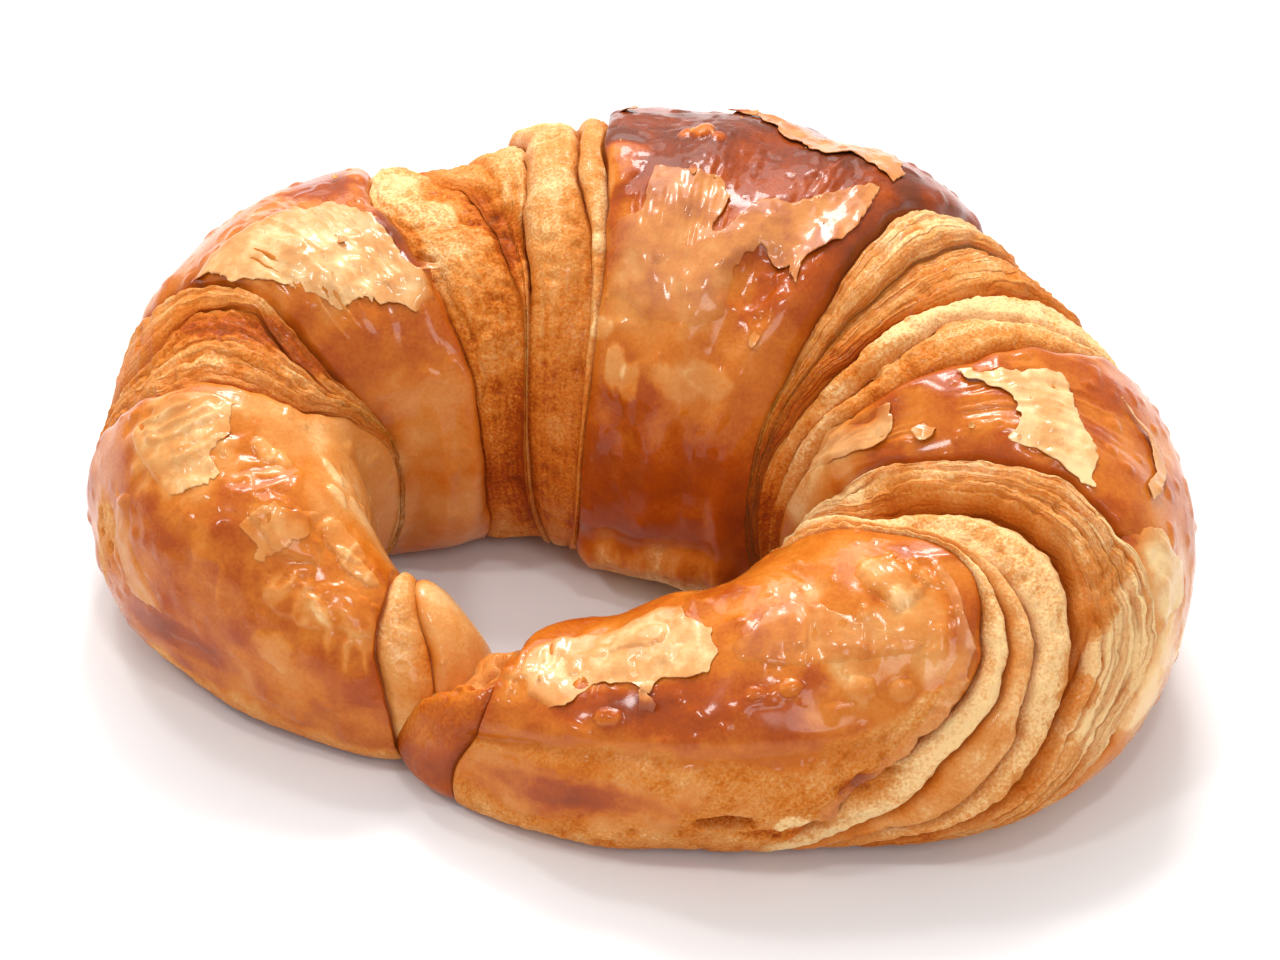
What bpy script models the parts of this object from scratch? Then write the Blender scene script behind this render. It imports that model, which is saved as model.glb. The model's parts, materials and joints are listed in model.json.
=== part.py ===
"""A croissant bent round into a closed ring, its two tips pressed together at the front left.

One solid: a tapering roll follows a path seen from above, and the rolled edges of the dough
cross it as bands, terraces and creases. +X is right, +Y is back, +Z is up, in metres.
"""
import math

import bpy
import numpy as np

MM = 0.001

# The roll seen from above, from the left tip round the back to the right tip, in millimetres:
# the outer side's x and y, the inner side's x and y, and the height of the roll there.
ROLL_PATH = (
    (-18, -13, -20, 0.5, 18),
    (-30, -18.5, -29.5, 3, 23),
    (-45.5, -14.5, -34.5, 7, 28),
    (-57.5, -8, -36, 12, 33),
    (-68, 3, -36, 16.5, 37),
    (-75, 18, -34, 20, 40),
    (-74.5, 39, -31.5, 21.5, 43),
    (-66, 56, -28.5, 21.5, 46),
    (-51, 69, -25, 21, 48),
    (-23, 78.5, -17, 20, 51),
    (6, 79, -6.5, 17, 55),
    (32, 72, 4.5, 13, 54),
    (55, 51.5, 11, 10.5, 51),
    (72.5, 21, 15.5, 9.5, 46.5),
    (66, -18, 19, 8, 41),
    (51, -32, 20.5, 5.5, 37.5),
    (34, -37.5, 18, 3, 34),
    (7, -37.5, 6, -4, 27.5),
    (-15, -31, -11, -7, 21.5),
    (-33, -21.5, -31, -8, 14),
)
CENTRE = (-0.94, 21.39)     # the middle of the croissant's box seen from above, which is the origin
WIDEST = 0.42           # height of the roll's widest line, as a share of its height
UNDERSIDE_POWER = 2.7   # how square the lower half of the section is
TIP_SHARE = 0.035       # share of the path over which each tip rounds off
REST_FLAT = 1.06        # how far the underside is pressed flat

# The bands of rolled dough, from the left tip to the right tip. Each begins at an edge, given in
# thousandths of the path at eight even turns of the section: outer side, outer shoulder, top,
# inner shoulder, inner side, inner foot, underside, outer foot. Then, in millimetres: the depth
# of the crease at that edge, how far the band stands out from the plain roll, and its swell.
BANDS = (
    ("left tip", (0, 0, 0, 0, 0, 0, 0, 0), 0.0, 0.0, 0.5),
    ("tip layer", (28, 30, 37, 38, 34, 30, 28, 28), 2.2, -0.8, 0.3),
    ("left arm", (46, 52, 50, 48, 44, 42, 42, 43), 2.5, 0.0, 0.8),
    ("left terrace", (190, 184, 174, 169, 188, 190, 185, 190), 3.5, -1.6, 0.8),
    ("left rim", (204, 206, 218, 183, 191, 195, 195, 200), 3.5, -1.0, 0.4),
    ("left shoulder", (228, 229, 226, 203, 195, 200, 205, 218), 3.5, 0.0, 1.2),
    ("open layer", (325, 318, 306, 321, 333, 340, 342, 335), 2.5, -2.2, 0.3),
    ("slit layer", (332, 328, 350, 374, 372, 386, 375, 350), 4.0, -2.2, 0.3),
    ("wide ridge", (368, 374, 382, 379, 377, 392, 388, 374), 8.0, -0.6, 0.8),
    ("narrow ridge", (392, 398, 405, 423, 421, 406, 402, 394), 3.0, 0.0, 0.3),
    ("centre", (405, 409, 418, 430, 425, 412, 409, 406), 1.5, 1.4, 1.0),
    ("wall top", (565, 560, 561, 585, 620, 640, 620, 590), 1.5, 0.0, 0.3),
    ("wall foot", (580, 580, 582, 598, 630, 647, 630, 600), 1.5, -1.0, 0.3),
    ("pale terrace", (604, 602, 602, 612, 645, 657, 642, 615), 6.0, -2.0, 0.8),
    ("lower terrace", (618, 620, 619, 640, 665, 668, 655, 630), 4.5, -1.6, 0.8),
    ("right shoulder", (630, 629, 643, 662, 693, 690, 668, 644), 4.5, 0.0, 1.0),
    ("shoulder rim", (720, 703, 703, 728, 770, 795, 800, 770), 1.8, 0.0, 0.4),
    ("broad terrace", (752, 724, 724, 765, 788, 803, 812, 800), 6.0, -1.4, 1.0),
    ("thin terrace", (768, 742, 746, 777, 798, 811, 820, 813), 4.5, -1.0, 0.5),
    ("inner terrace", (785, 751, 748.5, 786, 808, 819, 829, 825), 3.5, -0.8, 0.4),
    ("front arm", (808, 760, 750, 795, 818, 828, 840, 840), 3.0, 0.0, 1.0),
    ("right tip", (965, 952, 946, 945, 945, 950, 960, 965), 1.2, -0.4, 0.3),
)
# Folds that run along the roll: the shares of the path and the turns of the section, in degrees,
# where each starts and ends, the depth of its groove, and how far the dough below it stands out.
FOLDS = (
    ("front arm's hem", 0.78, 24, 0.97, 36, 1.3, -0.7),
    ("centre's foot", 0.41, 197, 0.61, 189, 0.8, 1.8),
)
FOLD_GROOVE = 5.0       # half the width of a fold's groove, in degrees round the section
FOLD_FADE = 0.02        # share of the path over which a fold begins and ends
FOLD_REACH = 75.0       # how far round the section the dough below a fold keeps its step

# Slow unevenness of the dough: waves along the path, waves round the section, phase, and mm.
WAVES = ((7, 2, 0.4, 0.5), (13, -1, 2.1, 0.4), (19, 3, 4.0, 0.35), (5, -4, 1.2, 0.35))

LIP = 3.5               # width over which a band's edge rounds down into its crease, mm
MERGE_WIDTH = 4.0       # bands narrower than this lose their creases, mm
UNDERSIDE_RELIEF = 0.25     # share of the relief left on the underside
CROWDED_PACE = 140.0    # where the surface is crowded below this pace, relief shrinks, mm
SPLIT_BAND = 8          # the left length ends, and the right length begins, at this band's edge

TUCK = 0.005            # share of the path to the first ring of a tucked end
TUCK_DEPTH = 2.0        # how far a tucked end lies below the crease, mm
TUCK_STEPS = ((6, 0.0), (4, 0.5), (1, 1.0))     # its rings: steps of TUCK, and section's scale

COLUMNS = 36            # points round the section
TIP_ANGLES = (20, 40, 60, 80)   # rings on a tip's rounded end, in degrees from its point
ROW_STEP = 7.0          # distance between rows across a band's middle, mm
CRUST_COLOUR = (0.55, 0.22, 0.06, 1.0)


def hermite(rows, knots, at):
    """Read a smooth curve through rows, placed at knots."""
    slope = np.gradient(rows, knots, axis=0)
    k = np.clip(np.searchsorted(knots, at, side="right") - 1, 0, len(knots) - 2)
    span = (knots[k + 1] - knots[k])[:, None]
    t = (at - knots[k])[:, None] / span
    return ((2 * t**3 - 3 * t**2 + 1) * rows[k] + (t**3 - 2 * t**2 + t) * span * slope[k]
            + (3 * t**2 - 2 * t**3) * rows[k + 1] + (t**3 - t**2) * span * slope[k + 1])


def path_knots(path):
    """Distance of each path row along the middle line as a share, and the whole length."""
    middle = (path[:, 0:2] + path[:, 2:4]) / 2
    steps = np.linalg.norm(np.diff(middle, axis=0), axis=1)
    knots = np.concatenate(([0.0], np.cumsum(steps)))
    return knots / knots[-1], knots[-1]


PATH = np.array(ROLL_PATH, float)
KNOTS, LENGTH = path_knots(PATH)
EDGES = np.array([band[1] for band in BANDS] + [(1000,) * 8], float) / 1000
CREASE = np.array([band[2] for band in BANDS] + [0.0])
LEVEL = np.array([band[3] for band in BANDS])
SWELL = np.array([band[4] for band in BANDS])


def around(values, turn):
    """Read eight even values round the section at an angle, by a smooth closed curve."""
    place = np.mod(turn / (math.pi / 4), 8)
    k = np.floor(place).astype(int) % 8
    t = place - np.floor(place)
    slope = (np.roll(values, -1) - np.roll(values, 1)) / 2
    after = (k + 1) % 8
    return ((2 * t**3 - 3 * t**2 + 1) * values[k] + (t**3 - 2 * t**2 + t) * slope[k]
            + (3 * t**2 - 2 * t**3) * values[after] + (t**3 - t**2) * slope[after])


def side_pace(places, columns):
    """How far one side of the path goes for each share of the path, smoothed over five places."""
    line = hermite(PATH, KNOTS, places)[:, columns]
    speed = np.linalg.norm(np.gradient(line, places, axis=0), axis=1)
    return np.convolve(np.pad(speed, 2, mode="edge"), np.full(5, 0.2), mode="valid")


PLACES = np.linspace(0.0, 1.0, 81)
OUTER_PACE = side_pace(PLACES, slice(0, 2))
INNER_PACE = side_pace(PLACES, slice(2, 4))


def pace(share, turn):
    """Millimetres along the surface for each share of the path: long outside, short inside."""
    outer = np.interp(share, PLACES, OUTER_PACE)
    inner = np.interp(share, PLACES, INNER_PACE)
    return inner + (outer - inner) * (1 + np.cos(turn)) / 2


def smooth_step(x, low, high):
    t = np.clip((x - low) / (high - low), 0.0, 1.0)
    return t * t * (3 - 2 * t)


def rounded(distance, radius):
    """A quarter circle's rise: 0 at the crease, 1 from one lip width on."""
    t = np.clip(distance / radius, 0.0, 1.0)
    return np.sqrt(1 - (1 - t)**2)


def roll_point(share, turn, relief, shrink):
    """Points of the roll in millimetres; relief stands out from the section, shrink scales it."""
    row = hermite(PATH, KNOTS, share)
    middle = (row[:, 0:2] + row[:, 2:4]) / 2
    half = (row[:, 0:2] - row[:, 2:4]) / 2
    width = np.linalg.norm(half, axis=1)
    outward = half / width[:, None]
    height = row[:, 4]
    waist = height * WIDEST
    to_tip = np.minimum(share, 1 - share) / TIP_SHARE
    closing = rounded(to_tip, 1.0) * shrink
    cosine, sine = np.cos(turn), np.sin(turn)
    under = sine < 0
    power = 2 / UNDERSIDE_POWER
    across = np.where(under, np.sign(cosine) * np.abs(cosine)**power, cosine) * width
    upright = np.where(under, -REST_FLAT * waist * np.abs(sine)**power, (height - waist) * sine)
    lean = np.stack((cosine * (height - waist), sine * width), axis=1)
    lean /= np.linalg.norm(lean, axis=1)[:, None]
    across = (across + relief * lean[:, 0]) * closing
    upright = (upright + relief * lean[:, 1]) * closing
    flat = middle + outward * across[:, None] - CENTRE
    return np.column_stack((flat, np.maximum(waist + upright, 0.0)))


def fold_relief(share, turn):
    """Relief of the folds that run along the roll."""
    total = np.zeros_like(share)
    degrees = np.degrees(turn)
    for _name, start, start_turn, end, end_turn, groove, step in FOLDS:
        line = start_turn + (end_turn - start_turn) * (share - start) / (end - start)
        present = (smooth_step(share, start, start + FOLD_FADE)
                   * (1 - smooth_step(share, end - FOLD_FADE, end)))
        side = 1 if start_turn > 90 else -1
        below = np.mod((degrees - line) * side + 180, 360) - 180
        dip = groove * np.exp(-(below / FOLD_GROOVE)**2)
        stand = smooth_step(below, 0, 2 * FOLD_GROOVE) * (1 - smooth_step(below, FOLD_REACH / 2, FOLD_REACH))
        total += present * (step * stand - dip)
    return total


def waves(share, turn):
    """Slow unevenness of the dough."""
    total = np.zeros_like(share)
    for along_count, round_count, phase, height in WAVES:
        total += height * np.sin(2 * math.pi * along_count * share + round_count * turn + phase)
    return total


def band_relief(band, share_of_band, turn):
    """Place along the path and relief of points across one band, in shares and millimetres."""
    start, end = around(EDGES[band], turn), around(EDGES[band + 1], turn)
    share = start + (end - start) * share_of_band
    first_pace, last_pace = pace(start, turn), pace(end, turn)
    width = (end - start) * (first_pace + last_pace) / 2
    before = (start - around(EDGES[max(band - 1, 0)], turn)) * first_pace
    after = (around(EDGES[min(band + 2, len(BANDS))], turn) - end) * last_pace
    keep = UNDERSIDE_RELIEF + (1 - UNDERSIDE_RELIEF) * smooth_step(np.sin(turn), -0.9, -0.1)
    first = CREASE[band] * smooth_step(np.minimum(width, before), 0.0, MERGE_WIDTH)
    last = CREASE[band + 1] * smooth_step(np.minimum(width, after), 0.0, MERGE_WIDTH)
    lip = np.minimum(LIP, 0.45 * width) + 0.01
    top = LEVEL[band] + SWELL[band] * (1 - (2 * share_of_band - 1)**2)
    from_first = 1 - rounded(share_of_band * width, lip)
    from_last = 1 - rounded((1 - share_of_band) * width, lip)
    if band == 0:
        from_first = np.zeros_like(from_first)
    if band == len(BANDS) - 1:
        from_last = np.zeros_like(from_last)
    relief = top - (LEVEL[band] + first) * from_first - (LEVEL[band] + last) * from_last
    relief = (relief + waves(share, turn)) * keep + fold_relief(share, turn)
    crowding = smooth_step(pace(share, turn), 0.0, CROWDED_PACE)
    return share, relief * crowding


def band_rows(band):
    """Shares across a band at which the rows of points lie: close at the lips, even between."""
    width = float(np.mean(EDGES[band + 1] - EDGES[band]))
    if band in (0, len(BANDS) - 1):
        cap = [(1 - math.cos(math.radians(a))) * TIP_SHARE / width for a in TIP_ANGLES]
        cap = [share for share in cap if share < 0.97]
        if band == 0:
            return [0.0] + cap
        return [0.0] + [1 - share for share in reversed(cap)]
    width *= LENGTH
    lip = min(LIP / width, 0.3)
    between = max(1, round(width * (1 - 2 * lip) / ROW_STEP))
    rows = [0.0, lip * 0.35]
    rows += [lip + (1 - 2 * lip) * i / between for i in range(between + 1)]
    rows.append(1 - lip * 0.35)
    return rows


def length_of_roll(first_band, last_band):
    """Rings of points for some bands, each end closed by a point: a tip, or tucked inside."""
    turn = np.arange(COLUMNS) * 2 * math.pi / COLUMNS
    rings = []
    for band in range(first_band, last_band):
        for row in band_rows(band):
            share, relief = band_relief(band, np.full(COLUMNS, row), turn)
            rings.append(roll_point(share, turn, relief, 1.0))
    inside = np.full(COLUMNS, -CREASE[SPLIT_BAND] - TUCK_DEPTH)
    if first_band > 0:
        start = around(EDGES[first_band], turn)
        rings[0:1] = [roll_point(start - TUCK * step, turn, inside, shrink) for step, shrink in TUCK_STEPS]
    if last_band < len(BANDS):
        end = around(EDGES[last_band], turn)
        tucked = [roll_point(end + TUCK * step, turn, inside, shrink) for step, shrink in TUCK_STEPS]
        rings += reversed(tucked)
    else:
        rings.append(roll_point(np.ones(COLUMNS), turn, np.zeros(COLUMNS), 0.0))
    return rings


def mesh_from_rings(name, rings):
    """A closed mesh: the first and last ring are single points, and bands of quads lie between."""
    points = [tuple(rings[0][0] * MM)]
    for ring in rings[1:-1]:
        points += [tuple(p * MM) for p in ring]
    points.append(tuple(rings[-1][0] * MM))
    faces = []
    last = len(points) - 1
    count = len(rings) - 2
    for c in range(COLUMNS):
        n = (c + 1) % COLUMNS
        faces.append((0, 1 + n, 1 + c))
        faces.append((last, 1 + (count - 1) * COLUMNS + c, 1 + (count - 1) * COLUMNS + n))
        for r in range(count - 1):
            a = 1 + r * COLUMNS
            b = a + COLUMNS
            faces.append((a + c, a + n, b + n, b + c))
    mesh = bpy.data.meshes.new(name)
    mesh.from_pydata(points, [], faces)
    mesh.validate()
    mesh.update()
    piece = bpy.data.objects.new(name, mesh)
    bpy.context.scene.collection.objects.link(piece)
    return piece


def crust_material():
    material = bpy.data.materials.new("crust")
    material.use_nodes = True
    shader = material.node_tree.nodes["Principled BSDF"]
    shader.inputs["Base Color"].default_value = CRUST_COLOUR
    shader.inputs["Roughness"].default_value = 0.4
    shader.inputs["Metallic"].default_value = 0.0
    return material


def join_lengths(name, lengths):
    """One Boolean union of the roll's lengths, applied; the lengths are then removed."""
    collection = bpy.data.collections.new("lengths")
    bpy.context.scene.collection.children.link(collection)
    base = lengths[0]
    for other in lengths[1:]:
        collection.objects.link(other)
    union = base.modifiers.new("union", "BOOLEAN")
    union.operation = "UNION"
    union.operand_type = "COLLECTION"
    union.collection = collection
    union.solver = "EXACT"
    depsgraph = bpy.context.evaluated_depsgraph_get()
    mesh = bpy.data.meshes.new_from_object(base.evaluated_get(depsgraph))
    mesh.name = name
    whole = bpy.data.objects.new(name, mesh)
    bpy.context.scene.collection.objects.link(whole)
    for piece in lengths:
        bpy.data.objects.remove(piece)
    bpy.data.collections.remove(collection)
    return whole


def main():
    for old in list(bpy.data.objects):
        bpy.data.objects.remove(old)
    left = mesh_from_rings("left_length", length_of_roll(0, SPLIT_BAND))
    right = mesh_from_rings("right_length", length_of_roll(SPLIT_BAND, len(BANDS)))
    croissant = join_lengths("croissant", [left, right])
    croissant.data.materials.clear()
    croissant.data.materials.append(crust_material())
    croissant.data.shade_smooth()
    croissant.data.set_sharp_from_angle(angle=math.radians(50))


main()
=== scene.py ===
"""The looks of a croissant bent round into a ring: crust, peeled films, crumbs and studio.

Sizes in the tables are millimetres, turns of the section are degrees and places along the roll
are thousandths of its path, as in the construction of the solid; meshes are made in metres.
"""
import json
import math

import bpy
import numpy as np
from bpy.props import FloatProperty, FloatVectorProperty, IntProperty, PointerProperty
from bpy.types import Operator, Panel, PropertyGroup
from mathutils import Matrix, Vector

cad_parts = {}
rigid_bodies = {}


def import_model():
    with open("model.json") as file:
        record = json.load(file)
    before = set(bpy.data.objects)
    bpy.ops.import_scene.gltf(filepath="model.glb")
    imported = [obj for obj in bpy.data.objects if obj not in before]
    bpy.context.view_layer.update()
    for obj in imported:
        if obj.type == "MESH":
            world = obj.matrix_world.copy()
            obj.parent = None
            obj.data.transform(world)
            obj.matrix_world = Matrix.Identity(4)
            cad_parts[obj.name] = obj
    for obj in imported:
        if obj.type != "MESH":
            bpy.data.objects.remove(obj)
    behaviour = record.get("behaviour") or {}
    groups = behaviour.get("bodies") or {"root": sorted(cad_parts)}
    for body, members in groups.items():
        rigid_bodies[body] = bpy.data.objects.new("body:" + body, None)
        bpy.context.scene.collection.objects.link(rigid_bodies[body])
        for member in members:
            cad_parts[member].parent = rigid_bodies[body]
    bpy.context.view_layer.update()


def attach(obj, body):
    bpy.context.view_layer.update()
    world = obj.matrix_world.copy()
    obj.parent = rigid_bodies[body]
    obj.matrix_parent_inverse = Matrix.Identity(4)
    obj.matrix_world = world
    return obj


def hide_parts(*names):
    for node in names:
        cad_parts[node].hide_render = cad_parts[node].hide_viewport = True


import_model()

bl_info = {
    "name": "Croissant ring",
    "version": (1, 0, 0),
    "blender": (4, 5, 0),
    "location": "View3D > Sidebar > Croissant",
    "description": "Builds a baked croissant ring with flaky crust, peeled films and crumbs",
    "category": "Add Mesh",
}

MM = 0.001
NODE = "croissant"
BODY = "root"

# The roll seen from above, from the left tip round the back to the right tip, in millimetres:
# the outer side's x and y, the inner side's x and y, and the height of the roll there.
ROLL_PATH = (
    (-18, -13, -20, 0.5, 18),
    (-30, -18.5, -29.5, 3, 23),
    (-45.5, -14.5, -34.5, 7, 28),
    (-57.5, -8, -36, 12, 33),
    (-68, 3, -36, 16.5, 37),
    (-75, 18, -34, 20, 40),
    (-74.5, 39, -31.5, 21.5, 43),
    (-66, 56, -28.5, 21.5, 46),
    (-51, 69, -25, 21, 48),
    (-23, 78.5, -17, 20, 51),
    (6, 79, -6.5, 17, 55),
    (32, 72, 4.5, 13, 54),
    (55, 51.5, 11, 10.5, 51),
    (72.5, 21, 15.5, 9.5, 46.5),
    (66, -18, 19, 8, 41),
    (51, -32, 20.5, 5.5, 37.5),
    (34, -37.5, 18, 3, 34),
    (7, -37.5, 6, -4, 27.5),
    (-15, -31, -11, -7, 21.5),
    (-33, -21.5, -31, -8, 14),
)
CENTRE = (-0.94, 21.39)     # the middle of the croissant's box seen from above, which is the origin
WIDEST = 0.42           # height of the roll's widest line, as a share of its height
UNDERSIDE_POWER = 2.7   # how square the lower half of the section is
TIP_SHARE = 0.035       # share of the path over which each tip rounds off
REST_FLAT = 1.06        # how far the underside is pressed flat

# The bands of rolled dough, from the left tip to the right tip. Each begins at an edge, given in
# thousandths of the path at eight even turns of the section: outer side, outer shoulder, top,
# inner shoulder, inner side, inner foot, underside, outer foot. Then, in millimetres: the depth
# of the crease at that edge, how far the band stands out from the plain roll, and its swell.
BANDS = (
    ("left tip", (0, 0, 0, 0, 0, 0, 0, 0), 0.0, 0.0, 0.5),
    ("tip layer", (28, 30, 37, 38, 34, 30, 28, 28), 1.5, -0.8, 0.3),
    ("left arm", (46, 52, 50, 48, 44, 42, 42, 43), 1.7, 0.0, 0.8),
    ("left terrace", (190, 184, 174, 169, 188, 190, 185, 190), 3.5, -1.6, 0.8),
    ("left rim", (204, 206, 218, 183, 191, 195, 195, 200), 3.5, -1.0, 0.4),
    ("left shoulder", (228, 229, 226, 203, 195, 200, 205, 218), 3.5, 0.0, 1.2),
    ("open layer", (325, 318, 306, 321, 333, 340, 342, 335), 2.5, -2.2, 0.3),
    ("slit layer", (332, 328, 350, 374, 372, 386, 375, 350), 4.0, -2.2, 0.3),
    ("wide ridge", (368, 374, 382, 379, 377, 392, 388, 374), 8.0, -0.6, 0.8),
    ("narrow ridge", (392, 398, 405, 423, 421, 406, 402, 394), 3.0, 0.0, 0.3),
    ("centre", (405, 409, 418, 430, 425, 412, 409, 406), 1.5, 1.4, 1.0),
    ("wall top", (565, 560, 561, 585, 620, 640, 620, 590), 1.5, 0.0, 0.3),
    ("wall foot", (580, 580, 582, 598, 630, 647, 630, 600), 1.5, -1.0, 0.3),
    ("pale terrace", (604, 602, 602, 612, 645, 657, 642, 615), 6.0, -2.0, 0.8),
    ("lower terrace", (618, 620, 619, 640, 665, 668, 655, 630), 4.5, -1.6, 0.8),
    ("right shoulder", (630, 629, 643, 662, 693, 690, 668, 644), 4.5, 0.0, 1.0),
    ("shoulder rim", (720, 703, 703, 728, 770, 795, 800, 770), 1.8, 0.0, 0.4),
    ("broad terrace", (752, 724, 724, 765, 788, 803, 812, 800), 6.0, -1.4, 1.0),
    ("thin terrace", (768, 742, 746, 777, 798, 811, 820, 813), 4.5, -1.0, 0.5),
    ("inner terrace", (785, 751, 748.5, 786, 808, 819, 829, 825), 3.5, -0.8, 0.4),
    ("front arm", (808, 760, 750, 795, 818, 828, 840, 840), 3.0, 0.0, 1.0),
    ("right tip", (965, 952, 946, 945, 945, 950, 960, 965), 1.2, -0.4, 0.3),
)
# How each band looks: how rough and layered its dough is (0 is a glossy skin), the number of
# thin laminae across it, how far its edge leans out over the crease before it (minus) or the
# band before it leans out over this one (plus), in millimetres, the width of the hollow in which
# it begins, and the browning it gains from its start to its end. Then its browning at the same
# eight turns, from 0 for pale cream to 100 for dark red-brown.
LOOKS = (
    ("left tip", 0.12, 0, 0.0, 0.0, 0, (28, 22, 20, 22, 26, 40, 60, 40)),
    ("tip layer", 0.40, 1, -0.8, 0.0, -30, (30, 22, 18, 20, 24, 36, 50, 36)),
    ("left arm", 0.00, 0, -1.2, 0.0, 0, (58, 52, 46, 24, 25, 34, 75, 64)),
    ("left terrace", 0.80, 6, -0.6, 2.5, 0, (30, 26, 24, 26, 30, 20, 50, 34)),
    ("left rim", 0.70, 3, -1.2, 3.5, -24, (38, 30, 30, 30, 28, 22, 50, 50)),
    ("left shoulder", 0.00, 0, -1.0, 0.0, 0, (50, 50, 50, 52, 32, 46, 60, 45)),
    ("open layer", 0.90, 1, -0.3, 0.0, 16, (26, 14, 12, 40, 60, 36, 50, 35)),
    ("slit layer", 0.90, 2, -1.0, 6.0, -34, (30, 26, 24, 40, 44, 20, 50, 35)),
    ("wide ridge", 0.75, 1, -2.2, 0.0, 0, (30, 20, 14, 36, 50, 24, 50, 35)),
    ("narrow ridge", 0.70, 1, -0.8, 0.0, 0, (38, 28, 20, 28, 46, 26, 50, 38)),
    ("centre", 0.00, 0, -1.0, 0.0, 0, (80, 88, 90, 48, 72, 50, 70, 75)),
    ("wall top", 0.75, 6, 0.6, 0.0, 10, (22, 14, 10, 38, 72, 36, 50, 30)),
    ("wall foot", 0.80, 6, 0.6, 0.0, 14, (26, 24, 26, 50, 76, 34, 50, 34)),
    ("pale terrace", 0.90, 1, 0.8, 1.0, 2, (10, 4, 2, 40, 62, 20, 45, 16)),
    ("lower terrace", 0.85, 1, 0.8, 1.2, 22, (22, 20, 24, 40, 54, 20, 45, 30)),
    ("right shoulder", 0.00, 0, 1.2, 0.0, 0, (38, 56, 62, 54, 38, 14, 60, 30)),
    ("shoulder rim", 0.75, 5, 0.8, 0.0, 34, (14, 18, 18, 20, 20, 12, 50, 34)),
    ("broad terrace", 0.80, 0, 0.4, 7.0, -22, (20, 0, 2, 12, 18, 8, 40, 30)),
    ("thin terrace", 0.50, 0, 0.5, 0.0, 10, (26, 18, 18, 24, 20, 10, 50, 40)),
    ("inner terrace", 0.75, 0, 0.3, 0.0, 16, (2, 2, 6, 18, 16, 8, 45, 12)),
    ("front arm", 0.00, 0, 0.3, 0.0, 0, (46, 57, 50, 52, 54, 50, 75, 56)),
    ("right tip", 0.35, 2, 0.8, 0.0, 0, (72, 58, 34, 32, 40, 40, 60, 66)),
)
# Folds that run along the roll: the shares of the path and the turns of the section, in degrees,
# where each starts and ends, the depth of its groove, and how far the dough below it stands out.
FOLDS = (
    ("front arm's hem", 0.78, 24, 0.97, 36, 1.3, -0.7),
    ("centre's foot", 0.41, 197, 0.61, 189, 0.8, 1.8),
)
FOLD_GROOVE = 5.0       # half the width of a fold's groove, in degrees round the section
FOLD_FADE = 0.02        # share of the path over which a fold begins and ends
FOLD_REACH = 75.0       # how far round the section the dough below a fold keeps its step

# Slow unevenness of the dough: waves along the path, waves round the section, phase, and mm.
WAVES = ((7, 2, 0.4, 0.5), (13, -1, 2.1, 0.4), (19, 3, 4.0, 0.35), (5, -4, 1.2, 0.35))
# The torn dough's wobble along each edge: waves round the section, phase for each band, and mm.
WOBBLE = ((7, 1.3, 0.30), (13, 2.9, 0.22), (29, 4.1, 0.12))

LAMINA_EDGE = 0.22      # share of a thin layer over which its edge rounds down
FULLY_LAYERED = 4       # number of laminae from which fine layers show fully between them
TORN_LIP = 0.55         # how much sharper torn dough's lips are than the skin's
LIP_BROWNING = 0.24     # how much browner the skin is at its lips
WOBBLE_ROOM = 4.0       # bands narrower than this wobble less, mm
WOBBLE_FROM_TIP = (0.02, 0.14)  # shares of the path over which edges begin to wobble
TORN_LIP_BROWNING = 0.15        # how much browner torn dough is at its very edge
TORN_LIP_WIDTH = 0.9    # width of that browner edge, mm
LIP = 3.5               # width over which a band's edge rounds down into its crease, mm
MERGE_WIDTH = 4.0       # bands narrower than this lose their creases, mm
UNDERSIDE_RELIEF = 0.25     # share of the relief left on the underside
CROWDED_PACE = 140.0    # where the surface is crowded below this pace, relief shrinks, mm
GRAIN_RADIUS = 20.0     # radius of the section on which stretched grain is laid out, mm
BAND_GRAIN_STEP = 37.0  # distance that sets one band's grain apart from the next one's, mm
TIP_RELIEF = 0.3        # share of the fine relief left at the very tips
TIP_CALM = 0.06         # share of the path over which that relief grows to its full height
UNDERSIDE_FADE = (-0.9, -0.1)   # heights on the unit section between which the relief grows
WIDEST_LIP = 0.45       # the widest lip, as a share of its band's width
WIDEST_HOLLOW = 0.6     # the widest hollow at a band's start, as a share of the band's width
NO_WIDTH = 0.01         # the narrowest lip or hollow, mm
FULL_CREASE = 4.0       # depth from which a crease takes on its full painted shade, mm
NEARBY = 0.03           # share of the path within which a band looks for its spots and bubbles

# Grains of the dough's unevenness: size in millimetres and seed.
BROAD, MIDDLING, FINE = (9.0, 1), (3.7, 2), (1.3, 3)
PIMPLE, PORE, GRIT, TEAR = (1.9, 4), (1.5, 6), (0.8, 11), (0.6, 12)
PIMPLE_START = 0.35     # noise from which a pimple rises
PORE_START = 0.28       # noise from which a pore sinks
# Grains stretched along the layers: size across them, size round the roll, and seed.
STREAK = (0.6, 7.0, 5)
LAYER_WANDER = ((0.30, 9.0, 12.0, 8), (0.12, 4.0, 3.0, 9))  # each with its share of a layer first
LAYER_STAND_SEED = 10   # seed of how far each layer stands out

TUCK = 0.004            # share of the path to the first ring of a tucked end
TUCK_DEPTH = 2.0        # how far a tucked end lies below the crease, mm
TUCK_STEPS = ((6, 0.0), (5, 0.4), (3, 0.8), (1, 1.0))   # its rings: steps of TUCK, section's scale

# The lengths of crust, each made as one closed piece: its first band, and the band after its last.
LENGTHS = (
    ("crust_left_arm", 0, 3),
    ("crust_left_shoulder", 3, 6),
    ("crust_open_layers", 6, 10),
    ("crust_centre", 10, 13),
    ("crust_right_shoulder", 13, 17),
    ("crust_front_arm", 17, 21),
    ("crust_right_tip", 21, 22),
)

# Values that each point of the crust carries for its material; the third tells how deep a point lies
# in a crease or groove, where the material paints shade. A film's points carry one more, film, which
# is how much beige they take on: partly their own paler tone, partly a painted sheen.
FIELDS = ("browning", "rough", "crease", "layers", "grain")

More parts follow.
